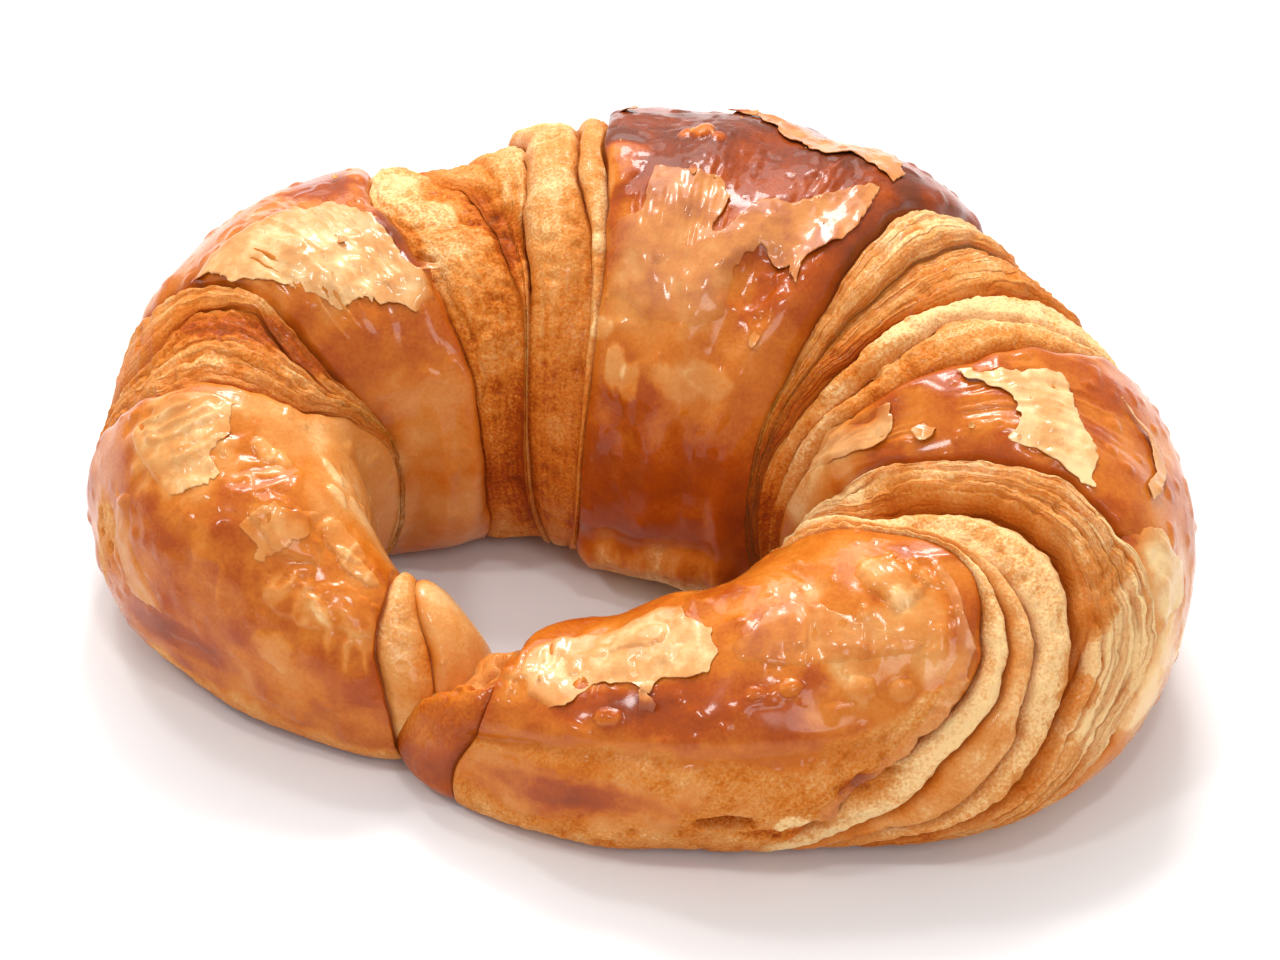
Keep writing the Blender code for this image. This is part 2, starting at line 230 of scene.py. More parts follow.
# Soft spots on the crust: place, turn, half length and half width in millimetres, then how far
# it stands out (mm), how much its browning changes (hundredths) and its roughness (0 to 1).
SPOTS = (
    ("arm's red end", 47, 14, 6, 6, 0.0, 6, 0.0),
    ("left terrace's brown layers", 206, 98, 2.8, 17, -0.5, 44, 0.0),
    ("arm's pale side", 158, 8, 5, 7, 0.0, -26, 0.8),
    ("arm's pale foot", 108, -34, 46, 6, 0.0, -28, 0.7),
    ("arm's dark strip", 122, -4, 9, 3, 0.0, 20, 0.0),
    ("arm's golden top", 130, 108, 20, 9, 0.0, -8, 0.0),
    ("left shoulder's red strip", 304, 104, 4.5, 6, -0.3, 34, 0.0),
    ("left shoulder's red top", 292, 66, 5, 6, 0.0, 24, 0.0),
    ("left shoulder's golden side", 300, 160, 16, 8, 0.0, -10, 0.0),
    # The slit's three spots are sunk and browner: painted shade in the slit.
    ("slit's dark start", 338, 82, 3.2, 4, -0.8, 30, 0.0),
    ("slit's dark floor", 352, 97, 3.2, 5, -0.9, 34, 0.0),
    ("slit's dark end", 369, 111, 2.6, 4.5, -0.8, 30, 0.0),
    ("centre's fine crest", 492, 82, 24, 9, 0.0, 0, 0.28),
    ("centre's bubble", 430, 98, 3.6, 4.0, 0.5, -34, 0.1),
    ("centre's pale foot", 508, 216, 20, 9, 0.0, -44, 0.8),
    ("centre's torn hole", 532, 121, 4.2, 4.0, -0.9, 0, 0.1),
    ("centre's pale corner", 424, 106, 2.0, 8, 0.0, -20, 0.1),
    ("front arm's orange foot", 905, 8, 14, 4, 0.0, 20, -0.9),
    ("front arm's orange flank", 926, 9, 24, 8, 0.0, 13, -0.8),
    ("broad terrace's orange layers", 734, 66, 2.2, 9, 0.0, 22, 0.0),
    ("pale terrace's clear top", 612, 88, 2.4, 12, 0.0, -16, 0.0),
    ("pale terrace's brown start", 604, 106, 1.2, 7, 0.0, 26, 0.0),
    ("front arm's red shoulder", 868, 50, 12, 6, 0.0, 16, 0.0),
    ("front arm's red window", 895, 55, 9, 3.4, 0.0, 16, 0.0),
    ("front arm's clear top", 808, 76, 12, 8, 0.0, -10, 0.0),
    ("front arm's golden shoulder", 788, 60, 9, 7, 0.0, -20, 0.0),
    # The torn hole, the dark fold and the low tear are sunk and browner: painted shade in those
    # hollows.
    ("front arm's torn hole", 852, -3, 4.2, 1.5, -2.6, 20, 0.3),
    ("front arm's dark fold", 800, 6, 5, 4, -1.2, 30, 0.0),
    ("front arm's low tear", 823, -10, 8, 2.0, -0.8, 26, 0.1),
    ("right tip's low top", 990, 108, 15, 18, -4.5, 0, 0.0),
    ("right shoulder's pale side", 716, 14, 12, 10, 0.0, -34, 0.0),
    ("right shoulder's pale spot", 696, 0, 1.6, 2.4, 0.2, -36, 0.2),
    ("right shoulder's inner side", 700, 146, 14, 9, 0.0, -26, 0.0),
    ("right shoulder's clear top", 690, 100, 8, 6, 0.0, -8, 0.0),
)
SPOT_EDGE = (0.55, 1.15)    # a spot fades between these shares of its own radius

# Bubbles in the skin, round and clearly bounded: place, turn, half length, half width and height
# in millimetres, and the change of browning.
BUBBLES = (
    ("arm's large bubble", 95, 76, 5.5, 4.4, 0.9, 0),
    ("arm's inner bubble", 74, 95, 3.0, 3.4, 0.7, -12),
    ("arm's low bubble", 66, 86, 2.6, 2.4, 0.6, -18),
    ("arm's upper blister", 129, 93, 2.6, 2.0, 0.6, -18),
    ("arm's second upper blister", 121, 99, 2.0, 1.8, 0.5, -16),
    ("arm's inner blister", 111, 123, 2.4, 1.3, 0.5, -14),
    ("arm's second inner blister", 91, 112, 1.8, 1.7, 0.5, -18),
    ("arm's tip bubble", 64, 58, 5.0, 4.6, 0.6, 0),
    ("arm's tip low bubble", 82, 48, 4.4, 4.2, 0.6, 0),
    ("arm's side bubble", 84, 22, 3.4, 3.2, 0.4, -12),
    ("centre's blister", 462, 83, 1.6, 1.5, 0.9, -42),
    ("centre's small blister", 454, 84, 1.0, 0.9, 0.5, -36),
    ("centre's third blister", 470, 85, 0.9, 0.8, 0.4, -34),
    ("centre's pale blotch", 435, 142, 2.0, 1.0, 0.2, -24),
    ("centre's second blotch", 450, 150, 1.8, 2.2, 0.3, -26),
    ("centre's third blotch", 462, 153, 1.6, 2.6, 0.3, -22),
    ("centre's fourth blotch", 497, 150, 4.0, 1.3, 0.2, -16),
    ("centre's fifth blotch", 530, 146, 3.6, 1.5, 0.2, -16),
    ("front arm's large bubble", 777, 79, 4.2, 3.6, 0.9, -9),
    ("front arm's blister", 824, 53, 1.5, 1.2, 0.5, -8),
    ("front arm's second blister", 800, 47, 1.9, 1.6, 0.6, -8),
    ("front arm's third blister", 787, 43, 1.9, 1.5, 0.5, -8),
    ("front arm's fourth blister", 837, 53, 1.1, 0.9, 0.4, -12),
    ("front arm's end bubble", 884, 92, 3.4, 2.6, 0.7, -6),
    ("front arm's pale blister", 895, 50, 2.0, 1.6, 0.6, -24),
    ("front arm's pale oval", 827, -3, 2.0, 1.6, 0.3, -28),
)
BUBBLE_EDGE = (0.78, 1.0)   # a bubble's browning fades between these shares of its own radius
BUBBLE_RIM = -0.06      # change of browning round a bubble's foot
BUBBLE_FOOT = 0.95      # radius of that foot, as a share of the bubble's
BUBBLE_FOOT_WIDTH = 0.12    # width of that foot, as a share of the bubble's radius

# Patches of skin finely wrinkled round the roll: place, turn, half length, half width and height
# in millimetres, and the change of browning on the ridges.
WRINKLES = (
    ("arm's top", 148, 66, 9, 11, 0.42, -24),
    ("arm's shoulder", 120, 84, 7, 6, 0.30, -16),
    ("arm's inner dimples", 72, 92, 6, 5, 0.30, -14),
    ("arm's low patch", 84, 48, 5, 6, 0.30, -22),
    ("arm's end patch", 63, 46, 5, 8, 0.32, -20),
    ("arm's middle patch", 108, 40, 5, 6, 0.20, -12),
    ("left shoulder's film", 262, 96, 12, 11, 0.32, -10),
    ("left shoulder's lower skin", 228, 120, 5, 3, 0.35, -6),
    ("centre's crest", 536, 82, 5, 4, 0.30, -8),
    ("centre's film", 470, 112, 8, 6, 0.18, -8),
    ("right shoulder's flake", 674, 76, 8, 10, 0.30, -8),
    ("right shoulder's inner film", 695, 132, 9, 8, 0.28, -8),
    ("front arm's bubble", 774, 82, 5, 4, 0.36, -10),
    ("front arm's middle", 812, 66, 8, 4, 0.24, -8),
    ("front arm's end", 905, 80, 14, 8, 0.34, -14),
    ("front arm's crest", 835, 96, 16, 5, 0.26, -8),
    ("front arm's bright end", 785, 58, 5, 4, 0.24, -6),
)
WRINKLE_GRAIN = (1.5, 9.0, 15)  # distance between wrinkles, how far one runs round the roll, seed

# The front arm's pale, rough dough lies below this line: place and turn.
PALE_DOUGH_LINE = ((770, 44), (786, 36), (808, 29), (831, 23), (866, 29), (895, 36), (940, 34))
PALE_DOUGH_FOOT = -48.0     # the turn down to which it reaches
PALE_DOUGH_BROWNING = 32.0      # hundredths
PALE_DOUGH_ROUGHNESS = 0.85
PALE_DOUGH_WANDER = 7.0     # how far its line wanders, in degrees round the section

# Films of crust that have peeled: the band each lies on, its browning, how far it stands off, how
# far its torn edge lifts (mm), and its outline: place, turn, and 1 where the edge to the next
# point is torn or 0 where it runs into the crust.
FILMS = (
    ("film_centre", "centre", 46, 0.30, 0.45, (
        (427, 114, 1), (446, 112, 1), (445, 98, 1), (463, 99, 1), (483, 99, 1), (494, 104, 1),
        (493, 114, 1), (498, 108, 1), (504, 103, 1), (520, 98, 1), (538, 85, 1), (546, 75, 1),
        (557, 90, 1), (559, 100, 1), (553, 109, 1), (557, 117, 1), (546, 115, 1), (536, 116, 1),
        (522, 114, 1), (514, 121, 1), (523, 124, 0), (530, 134, 0), (505, 142, 0), (461, 143, 0),
        (430, 136, 0))),
    ("film_centre_crest", "centre", 34, 0.25, 0.45, (
        (448, 62, 1), (473, 61, 1), (488, 59, 1), (506, 60, 1), (523, 56, 1), (535, 57, 1),
        (549, 66, 1), (551, 78, 1), (541, 73, 1), (526, 74, 1), (518, 79, 1), (507, 76, 1),
        (493, 73, 1), (477, 67, 1), (463, 64, 1))),
    ("film_left_shoulder", "left shoulder", 10, 0.30, 0.40, (
        (224, 58, 1), (225, 87, 1), (229, 100, 1), (233, 112, 1), (236, 119, 1), (261, 123, 1),
        (259, 127, 1), (279, 128, 1), (298, 134, 0), (314, 130, 0), (319, 117, 1), (302, 115, 1),
        (300, 107, 1), (298, 97, 1), (295, 87, 1), (288, 76, 1), (276, 79, 1), (262, 72, 0),
        (244, 60, 0))),
    ("film_left_arm", "left arm", 14, 0.14, 0.10, (
        (171, 42, 0), (174, 64, 0), (172, 79, 0), (164, 91, 0), (155, 98, 1), (153, 88, 1),
        (140, 83, 1), (136, 74, 1), (127, 71, 1), (126, 60, 1), (136, 43, 0), (156, 40, 0))),
    ("film_arm_bubble", "left arm", 31, 0.10, 0.05, (
        (108, 60, 1), (106, 73, 1), (101, 86, 0), (93, 100, 0), (82, 100, 0), (80, 86, 1),
        (87, 73, 1), (93, 56, 1), (99, 50, 1), (100, 59, 1))),
    ("film_left_arm_edge", "left arm", 34, 0.25, 0.25, (
        (166, 37, 0), (156, 35, 0), (148, 43, 0), (142, 32, 0), (135, 22, 0), (126, 15, 0),
        (118, 6, 1), (139, 1, 1), (148, 15, 1), (154, 27, 1))),
    ("film_right_shoulder", "right shoulder", 1, 0.35, 0.5, (
        (655, 101, 1), (667, 97, 1), (673, 91, 1), (679, 84, 1), (687, 84, 1), (695, 87, 1),
        (698, 82, 1), (698, 74, 1), (701, 63, 1), (700, 57, 1), (686, 61, 1), (677, 66, 1),
        (660, 66, 1), (654, 69, 1), (654, 75, 1), (658, 84, 1), (660, 92, 1))),
    ("film_right_inner", "right shoulder", 22, 0.35, 0.35, (
        (675, 115, 1), (694, 115, 1), (711, 120, 1), (724, 140, 0), (701, 152, 0), (667, 149, 0),
        (659, 136, 0), (668, 123, 1))),
    ("film_right_streak", "right shoulder", 20, 0.35, 0.4, (
        (655, 55, 1), (661, 47, 1), (667, 42, 1), (676, 41, 1), (685, 46, 1), (692, 41, 1),
        (672, 35, 1), (665, 38, 1), (658, 48, 1))),
    ("film_right_side", "right shoulder", 0, 0.35, 0.3, (
        (699, 47, 1), (694, 37, 1), (694, 30, 1), (691, 23, 1), (697, 15, 1), (706, 18, 1),
        (714, 14, 0), (716, 30, 0), (707, 46, 0))),
    ("film_front_arm", "front arm", 46, 0.16, 0.15, (
        (850, 72, 1), (838, 79, 1), (827, 87, 1), (816, 88, 1), (806, 82, 1), (795, 71, 1),
        (783, 61, 1), (770, 54, 0), (776, 47, 0), (800, 52, 0), (825, 56, 0), (848, 62, 0))),
    ("film_front_edge", "front arm", 48, 0.20, 0.30, (
        (753, 84, 1), (757, 64, 1), (762, 48, 1), (772, 33, 1), (784, 22, 1), (798, 9, 1),
        (812, -3, 1), (822, -8, 0), (821, 1, 0), (807, 14, 0), (794, 27, 0), (783, 38, 0),
        (773, 51, 0), (767, 65, 0), (763, 82, 0))),
    ("film_terrace", "lower terrace", 44, 0.45, 0.30, (
        (622, 119, 0), (628, 110, 1), (637, 104, 1), (645, 105, 0), (641, 114, 0),
        (632, 121, 0))),
    ("film_front_arm_end", "front arm", 12, 0.16, 0.28, (
        (944, 80, 0), (940, 99, 0), (922, 112, 0), (891, 112, 0), (874, 116, 0), (860, 110, 1),
        (861, 100, 1), (850, 84, 1), (847, 72, 1), (854, 64, 1), (864, 63, 1), (873, 66, 1),
        (877, 58, 1), (884, 63, 1), (897, 67, 1), (906, 60, 1), (912, 54, 1), (926, 52, 0),
        (938, 62, 0))),
)
# Loose scraps still held at one side: the band, place and turn of the middle, length and width in
# millimetres, the way it points in degrees from the roll's own line, browning, and its lift (mm).
SCRAPS = (
    ("scrap_right_curl", "right shoulder", 694, 105, 5.5, 2.4, 12, 16, 1.3),
    ("scrap_front_curl", "front arm", 880, 54, 5.5, 2.2, 78, 22, 1.2),
    ("scrap_crest_left", "centre", 419, 66, 4.5, 2.0, 20, 22, 0.5),
    ("scrap_crest_blister", "centre", 468, 62, 5.0, 2.4, 10, 24, 0.9),
    ("scrap_crest_leaf", "centre", 479, 63, 3.4, 1.4, 35, 16, 0.8),
    ("scrap_centre_leaf", "centre", 467, 97, 3.6, 1.3, 62, 10, 0.9),
    ("scrap_hole_leaf", "centre", 555, 130, 3.2, 1.6, 70, 4, 0.9),
    ("scrap_hole_leaf_low", "centre", 561, 131, 2.4, 1.3, 95, 4, 0.8),
    ("scrap_film_tongue", "left shoulder", 268, 98, 4.0, 2.2, 30, 12, 1.1),
    ("scrap_film_leaf", "left shoulder", 260, 104, 3.0, 1.8, 80, 20, 0.9),
    ("scrap_film_bright", "left shoulder", 308, 117, 5.0, 1.8, 15, 4, 0.8),
)
FILM_CELL = 0.28        # spacing of a film's points, mm
FILM_REACH = 3.0        # distance over which a film runs into the crust, mm
FILM_CURL = 1.3         # distance over which a torn edge lifts, mm
FILM_BEIGE_AND_SHEEN = (0.60, 0.50, 0.31, 1)       # the beige that a film takes on where it has lifted: partly its own paler tone, partly a painted sheen
FILM_PALING = 0.5       # share of beige for each millimetre that a film's edge lifts
FILM_PALEST = 0.15      # largest share of beige
FILM_SINK = 0.7         # how far a merged edge lies below the crust, mm
TORN_BITES = ((5.0, 1.1), (1.5, 0.55), (0.7, 0.25))     # bites along a torn edge: size and depth
BITTEN_WIDTH = 3.0      # half the width of a film below which its bites grow smaller, mm
BITE_BAND_STEP = 3.1    # distance that sets one band's bites apart from the next one's, mm
BITE_SEED = 20
FILM_MARGIN = 1.0       # room round a film's outline in which its grid is laid, mm
FILM_WRINKLE, FILM_RIPPLE = (1.5, 21), (3.3, 22)    # a film's own grains: size in mm and seed
FILM_CURL_GRAIN, FILM_SPECK = (2.6, 23), (1.1, 24)
FAR_AWAY = 99.0         # distance to an edge of a kind that a film hasn't got, mm
SCRAP_CORNERS = 10      # corners of a scrap's oval outline
SCRAP_UNEVEN = 0.25     # how uneven a scrap's width is
SCRAP_SHIFT = (0.5, 0.3)    # how far a scrap's middle lies from its place, mm
SCRAP_GAP = 0.3         # how far a scrap stands off the crust, mm
SCRAP_HELD = 0.5        # half the angle over which a scrap's narrow end is held, radians
DEGREE_ARC = 0.38       # one degree round the section, mm

# Where crumbs and shards lie: places and turns from and to.
CRUMB_ZONES = (
    ("left shoulder", 236, 316, 66, 122),
    ("centre", 425, 560, 62, 110),
    ("right shoulder", 655, 705, 60, 118),
    ("front arm", 765, 930, 50, 98),
)
CRUMB_CELLS = 24        # rows and columns of the surface on which a zone's crumbs are laid
SHARD_SHAPES = (
    ((0.5, 0.0), (0.1, 0.42), (-0.45, 0.25), (-0.5, -0.2), (0.0, -0.36)),
    ((0.6, 0.1), (0.0, 0.22), (-0.6, 0.08), (-0.3, -0.2), (0.25, -0.24)),
    ((0.4, -0.3), (0.45, 0.3), (-0.1, 0.5), (-0.5, 0.0), (-0.1, -0.5)),
)
SHARD_BEND = 0.22       # height of a shard's middle, as a share of its width
SHARD_THICKNESS = 0.14  # thickness of a shard, as a share of its width
CRUMB_STAND = 0.45      # how far the middle of a crumb lies above the skin, mm
CRUMB_TONES = (0.02, 0.38)  # browning of the palest and the brownest crumb
CRUMB_ROUGHNESS = 0.3
CRUMB_TILT = 0.35       # how far a crumb may lean, radians

# Colours of baking by how brown the dough is, from cream to dark brown.
BAKE_STOPS = (0.0, 0.22, 0.46, 0.66, 0.86, 1.0)
# The fine grain that only the material has: grains in each metre.
MOTTLE_GRAINS, SKIN_GRAINS, PORE_GRAINS = 260.0, 1900.0, 2300.0
STREAK_GRAINS = (1.6, 0.20, 0.20)   # in each mm across the layers, and twice round the roll
LINE_GRAINS = (1.25, 0.07, 0.07)
MOTTLE_CONTRAST = 0.55
TORN_CONTRAST = 1.15
CREASE_SHADE_TINT, LINE_SHADE_TINT = 0.85, 0.7  # how strongly creases and fine lines take the painted shade of a crease

FLOOR_SIZE = 6.0        # width of the studio floor, m
CAMERA_PLACE = (0.94, -356.0, 297.0)    # mm, as its aim
CAMERA_AIM = (0.94, -1.39, 20.0)
CAMERA_LENS = 92.4
# The square lights: width and place, in metres.
KEY_LIGHT = (0.24, (0.04, 0.60, 0.80))
PANEL_LIGHT = (1.2, (-0.15, 1.0, 1.15))
FILL_LIGHT = (0.35, (0.28, -0.80, 0.85))
GLINT_WIDTH = 0.10
GLINT_PLACES = ((-0.25, 0.35, 0.85), (0.10, -0.30, 0.95), (-0.45, -0.25, 0.80))


class CrustSizes(PropertyGroup):
    columns: IntProperty(
        name="Columns", description="Points round the roll's section", default=344, min=60)
    row_gap: FloatProperty(
        name="Row gap", description="Distance between rows of points", default=0.00027,
        unit="LENGTH")
    swelling: FloatProperty(
        name="Swelling", description="Height of the broad unevenness of the skin",
        default=0.00034, unit="LENGTH")
    pimples: FloatProperty(
        name="Pimples", description="Height of the small bubbles in the skin",
        default=0.00058, unit="LENGTH")
    laminae: FloatProperty(
        name="Laminae", description="Height of the thin layers at the torn ends of the dough",
        default=0.00065, unit="LENGTH")
    fibre: FloatProperty(
        name="Fibre", description="Depth of the torn dough's streaks", default=0.00012,
        unit="LENGTH")
    grit: FloatProperty(
        name="Grit", description="Height of the torn dough's small grains", default=0.00022,
        unit="LENGTH")
    pores: FloatProperty(
        name="Pores", description="Depth of the torn dough's pores", default=0.0009,
        unit="LENGTH")


class CrustColours(PropertyGroup):
    cream: FloatVectorProperty(
        name="Cream", description="Palest inner dough", subtype="COLOR", size=4,
        default=(0.84, 0.56, 0.26, 1))
    golden: FloatVectorProperty(
        name="Golden", description="Lightly baked dough", subtype="COLOR", size=4,
        default=(0.66, 0.285, 0.077, 1))
    orange: FloatVectorProperty(
        name="Orange", description="Baked skin", subtype="COLOR", size=4,
        default=(0.56, 0.158, 0.014, 1))
    deep: FloatVectorProperty(
        name="Deep orange", description="Well baked skin", subtype="COLOR", size=4,
        default=(0.38, 0.066, 0.004, 1))
    red: FloatVectorProperty(
        name="Red-brown", description="Darkly baked skin", subtype="COLOR", size=4,
        default=(0.25, 0.040, 0.006, 1))
    dark: FloatVectorProperty(
        name="Dark brown", description="Darkest crests", subtype="COLOR", size=4,
        default=(0.145, 0.030, 0.010, 1))
    # The colour that creases, grooves and the fine lines between laminae are mixed towards: painted
    # shade, deep orange as bounced light makes it.
    crease: FloatVectorProperty(
        name="Crease", description="Dough deep inside a crease", subtype="COLOR", size=4,
        default=(0.50, 0.12, 0.010, 1))


class FlakeSizes(PropertyGroup):
    thickness: FloatProperty(
        name="Film thickness", description="Thickness of a peeled film", default=0.00014,
        unit="LENGTH")
    crumb_density: FloatProperty(
        name="Crumbs", description="Crumbs on each square metre of the zones", default=9000)
    crumb_smallest: FloatProperty(
        name="Smallest crumb", description="Width of the smallest crumb", default=0.0003,
        unit="LENGTH")
    crumb_largest: FloatProperty(
        name="Largest crumb", description="Width of the largest crumb", default=0.0009,
        unit="LENGTH")
    seed: IntProperty(name="Seed", description="Arrangement of the crumbs", default=7)


class StageLight(PropertyGroup):
    floor: FloatVectorProperty(
        name="Floor", description="Colour of the floor", subtype="COLOR", size=4,
        default=(0.80, 0.785, 0.785, 1))
    sky: FloatProperty(
        name="Surround", description="Strength of the even light around", default=0.66)
    key: FloatProperty(
        name="Key light", description="Power of the light above and behind, in watts",
        default=5.4)
    panel: FloatProperty(
        name="Panel", description="Power of the broad panel behind, that the skin mirrors, in watts",
        default=13.5)
    fill: FloatProperty(
        name="Fill", description="Power of the light in front and to the right, in watts",
        default=2.2)
    glint: FloatProperty(
        name="Glints", description="Power of each small light that gives the skin its glints",
        default=1.2)


class CroissantSettings(PropertyGroup):
    crust: PointerProperty(type=CrustSizes)
    colours: PointerProperty(type=CrustColours)
    flakes: PointerProperty(type=FlakeSizes)
    stage: PointerProperty(type=StageLight)


def hermite(rows, knots, at):
    """Read a smooth curve through rows, placed at knots."""
    slope = np.gradient(rows, knots, axis=0)
    k = np.clip(np.searchsorted(knots, at, side="right") - 1, 0, len(knots) - 2)
    span = (knots[k + 1] - knots[k])[:, None]
    t = (at - knots[k])[:, None] / span
    return ((2 * t**3 - 3 * t**2 + 1) * rows[k] + (t**3 - 2 * t**2 + t) * span * slope[k]
            + (3 * t**2 - 2 * t**3) * rows[k + 1] + (t**3 - t**2) * span * slope[k + 1])


def path_knots(path):
    """Distance of each path row along the middle line as a share, and the whole length."""
    middle = (path[:, 0:2] + path[:, 2:4]) / 2
    steps = np.linalg.norm(np.diff(middle, axis=0), axis=1)
    knots = np.concatenate(([0.0], np.cumsum(steps)))
    return knots / knots[-1], knots[-1]


PATH = np.array(ROLL_PATH, float)
KNOTS, LENGTH = path_knots(PATH)
EDGES = np.array([band[1] for band in BANDS] + [(1000,) * 8], float) / 1000
CREASE = np.array([band[2] for band in BANDS] + [0.0])
LEVEL = np.array([band[3] for band in BANDS])
SWELL = np.array([band[4] for band in BANDS])
ROUGHNESS = np.array([look[1] for look in LOOKS])
LAMINAE = np.array([look[2] for look in LOOKS])
OVERHANG = np.array([look[3] for look in LOOKS] + [0.0])
HOLLOW = np.array([look[4] for look in LOOKS])
BROWNING_GAIN = np.array([look[5] for look in LOOKS]) / 100
BROWNING = np.array([look[6] for look in LOOKS], float) / 100
BAND_NUMBER = {band[0]: number for number, band in enumerate(BANDS)}


def around(values, turn):
    """Read eight even values round the section at an angle, by a smooth closed curve."""
    place = np.mod(turn / (math.pi / 4), 8)
    k = np.floor(place).astype(int) % 8
    t = place - np.floor(place)
    slope = (np.roll(values, -1) - np.roll(values, 1)) / 2
    after = (k + 1) % 8
    return ((2 * t**3 - 3 * t**2 + 1) * values[k] + (t**3 - 2 * t**2 + t) * slope[k]
            + (3 * t**2 - 2 * t**3) * values[after] + (t**3 - t**2) * slope[after])


def edge_at(edge, turn):
    """Share of the path at an edge, with the torn dough's wobble."""
    plain = share = around(EDGES[edge], turn)
    if 0 < edge < len(BANDS):
        before = plain - around(EDGES[edge - 1], turn)
        after = around(EDGES[edge + 1], turn) - plain
        room = smooth_step(np.minimum(before, after) * LENGTH, 0.0, WOBBLE_ROOM)
        room *= smooth_step(np.minimum(plain, 1 - plain), *WOBBLE_FROM_TIP)
        for count, phase, size in WOBBLE:
            share = share + room * size / LENGTH * np.sin(count * turn + phase * edge)
    return share


def side_pace(places, columns):
    """How far one side of the path goes for each share of the path, smoothed over five places."""
    line = hermite(PATH, KNOTS, places)[:, columns]
    speed = np.linalg.norm(np.gradient(line, places, axis=0), axis=1)
    return np.convolve(np.pad(speed, 2, mode="edge"), np.full(5, 0.2), mode="valid")


PLACES = np.linspace(0.0, 1.0, 81)
OUTER_PACE = side_pace(PLACES, slice(0, 2))
INNER_PACE = side_pace(PLACES, slice(2, 4))


def pace(share, turn):
    """Millimetres along the surface for each share of the path: long outside, short inside."""
    outer = np.interp(share, PLACES, OUTER_PACE)
    inner = np.interp(share, PLACES, INNER_PACE)
    return inner + (outer - inner) * (1 + np.cos(turn)) / 2


def smooth_step(x, low, high):
    t = np.clip((x - low) / (high - low), 0.0, 1.0)
    return t * t * (3 - 2 * t)


def rounded(distance, radius):
    """A quarter circle's rise: 0 at the crease, 1 from one lip width on."""
    t = np.clip(distance / radius, 0.0, 1.0)
    return np.sqrt(1 - (1 - t)**2)


def roll_point(share, turn, relief, shrink):
    """Points of the roll in millimetres; relief stands out from the section, shrink scales it."""
    row = hermite(PATH, KNOTS, share)
    middle = (row[:, 0:2] + row[:, 2:4]) / 2
    half = (row[:, 0:2] - row[:, 2:4]) / 2
    width = np.linalg.norm(half, axis=1)
    outward = half / width[:, None]
    height = row[:, 4]
    waist = height * WIDEST
    to_tip = np.minimum(share, 1 - share) / TIP_SHARE
    closing = rounded(to_tip, 1.0) * shrink
    cosine, sine = np.cos(turn), np.sin(turn)
    under = sine < 0
    power = 2 / UNDERSIDE_POWER
    across = np.where(under, np.sign(cosine) * np.abs(cosine)**power, cosine) * width
    upright = np.where(under, -REST_FLAT * waist * np.abs(sine)**power, (height - waist) * sine)
    lean = np.stack((cosine * (height - waist), sine * width), axis=1)
    lean /= np.linalg.norm(lean, axis=1)[:, None]
    across = (across + relief * lean[:, 0]) * closing
    upright = (upright + relief * lean[:, 1]) * closing
    flat = middle + outward * across[:, None] - CENTRE
    return np.column_stack((flat, np.maximum(waist + upright, 0.0)))


def fold_relief(share, turn):
    """Relief of the folds that run along the roll, and how deep in a groove each point lies."""
    total = np.zeros_like(share)
    depth = np.zeros_like(share)
    degrees = np.degrees(turn)
    for _name, start, start_turn, end, end_turn, groove, step in FOLDS:
        line = start_turn + (end_turn - start_turn) * (share - start) / (end - start)
        present = (smooth_step(share, start, start + FOLD_FADE)
                   * (1 - smooth_step(share, end - FOLD_FADE, end)))
        side = 1 if start_turn > 90 else -1
        below = np.mod((degrees - line) * side + 180, 360) - 180
        dip = np.exp(-(below / FOLD_GROOVE)**2)
        stand = smooth_step(below, 0, 2 * FOLD_GROOVE)
        stand *= 1 - smooth_step(below, FOLD_REACH / 2, FOLD_REACH)
        total += present * (step * stand - groove * dip)
        depth += present * dip
    return total, depth


def waves(share, turn):
    """Slow unevenness of the dough."""
    total = np.zeros_like(share)
    for along_count, round_count, phase, height in WAVES:
        total += height * np.sin(2 * math.pi * along_count * share + round_count * turn + phase)
    return total


def lattice(corner, seed):
    """A steady random value from -1 to 1 at each corner of a grid of whole numbers."""
    mixed = (corner[0] * 73856093) ^ (corner[1] * 19349663) ^ (corner[2] * 83492791)
    mixed = (mixed ^ (seed * 40503)) & 0xFFFFFFFF
    mixed = ((mixed ^ (mixed >> 15)) * 2246822519) & 0xFFFFFFFF
    mixed = ((mixed ^ (mixed >> 13)) * 3266489917) & 0xFFFFFFFF
    return ((mixed ^ (mixed >> 16)) & 0xFFFF) / 32767.5 - 1


def noise(points, size, seed):
    """Smooth random value from -1 to 1 with grains of a given size, at points in millimetres."""
    place = points / size
    base = np.floor(place)
    t = place - base
    t = t**3 * (t * (t * 6 - 15) + 10)
    base = base.astype(np.int64)
    total = np.zeros(len(points))
    for corner in range(8):
        step = (corner & 1, corner >> 1 & 1, corner >> 2)
        weight = np.ones(len(points))
        for axis in range(3):
            weight *= t[:, axis] if step[axis] else 1 - t[:, axis]
        total += weight * lattice([base[:, axis] + step[axis] for axis in range(3)], seed)
    return total


def stretched_noise(grain, across, along, seed):
    """Noise whose grains have one size across the layers and another round the roll."""
    return noise(grain * (1 / across, 1 / along, 1 / along), 1.0, seed)


def grain_place(band, share_of_band, turn):
    """A place that grain along the torn layers follows: across the band, and round the section."""
    width = float(np.mean(EDGES[band + 1] - EDGES[band])) * LENGTH
    return np.column_stack((share_of_band * width + BAND_GRAIN_STEP * band,
                            GRAIN_RADIUS * np.cos(turn), GRAIN_RADIUS * np.sin(turn)))


def spot_distance(share, turn, place, spot_turn, half_length, half_width):
    """How far each point lies from the middle of a spot, as a share of the spot's radius."""
    turn_of_spot = math.radians(spot_turn)
    length = pace(np.array([place / 1000]), np.array([turn_of_spot]))[0]
    along = (share - place / 1000) * length / half_length
    round_the_roll = np.degrees(np.mod(turn - turn_of_spot + math.pi, 2 * math.pi) - math.pi)
    return np.hypot(along, round_the_roll * DEGREE_ARC / half_width)


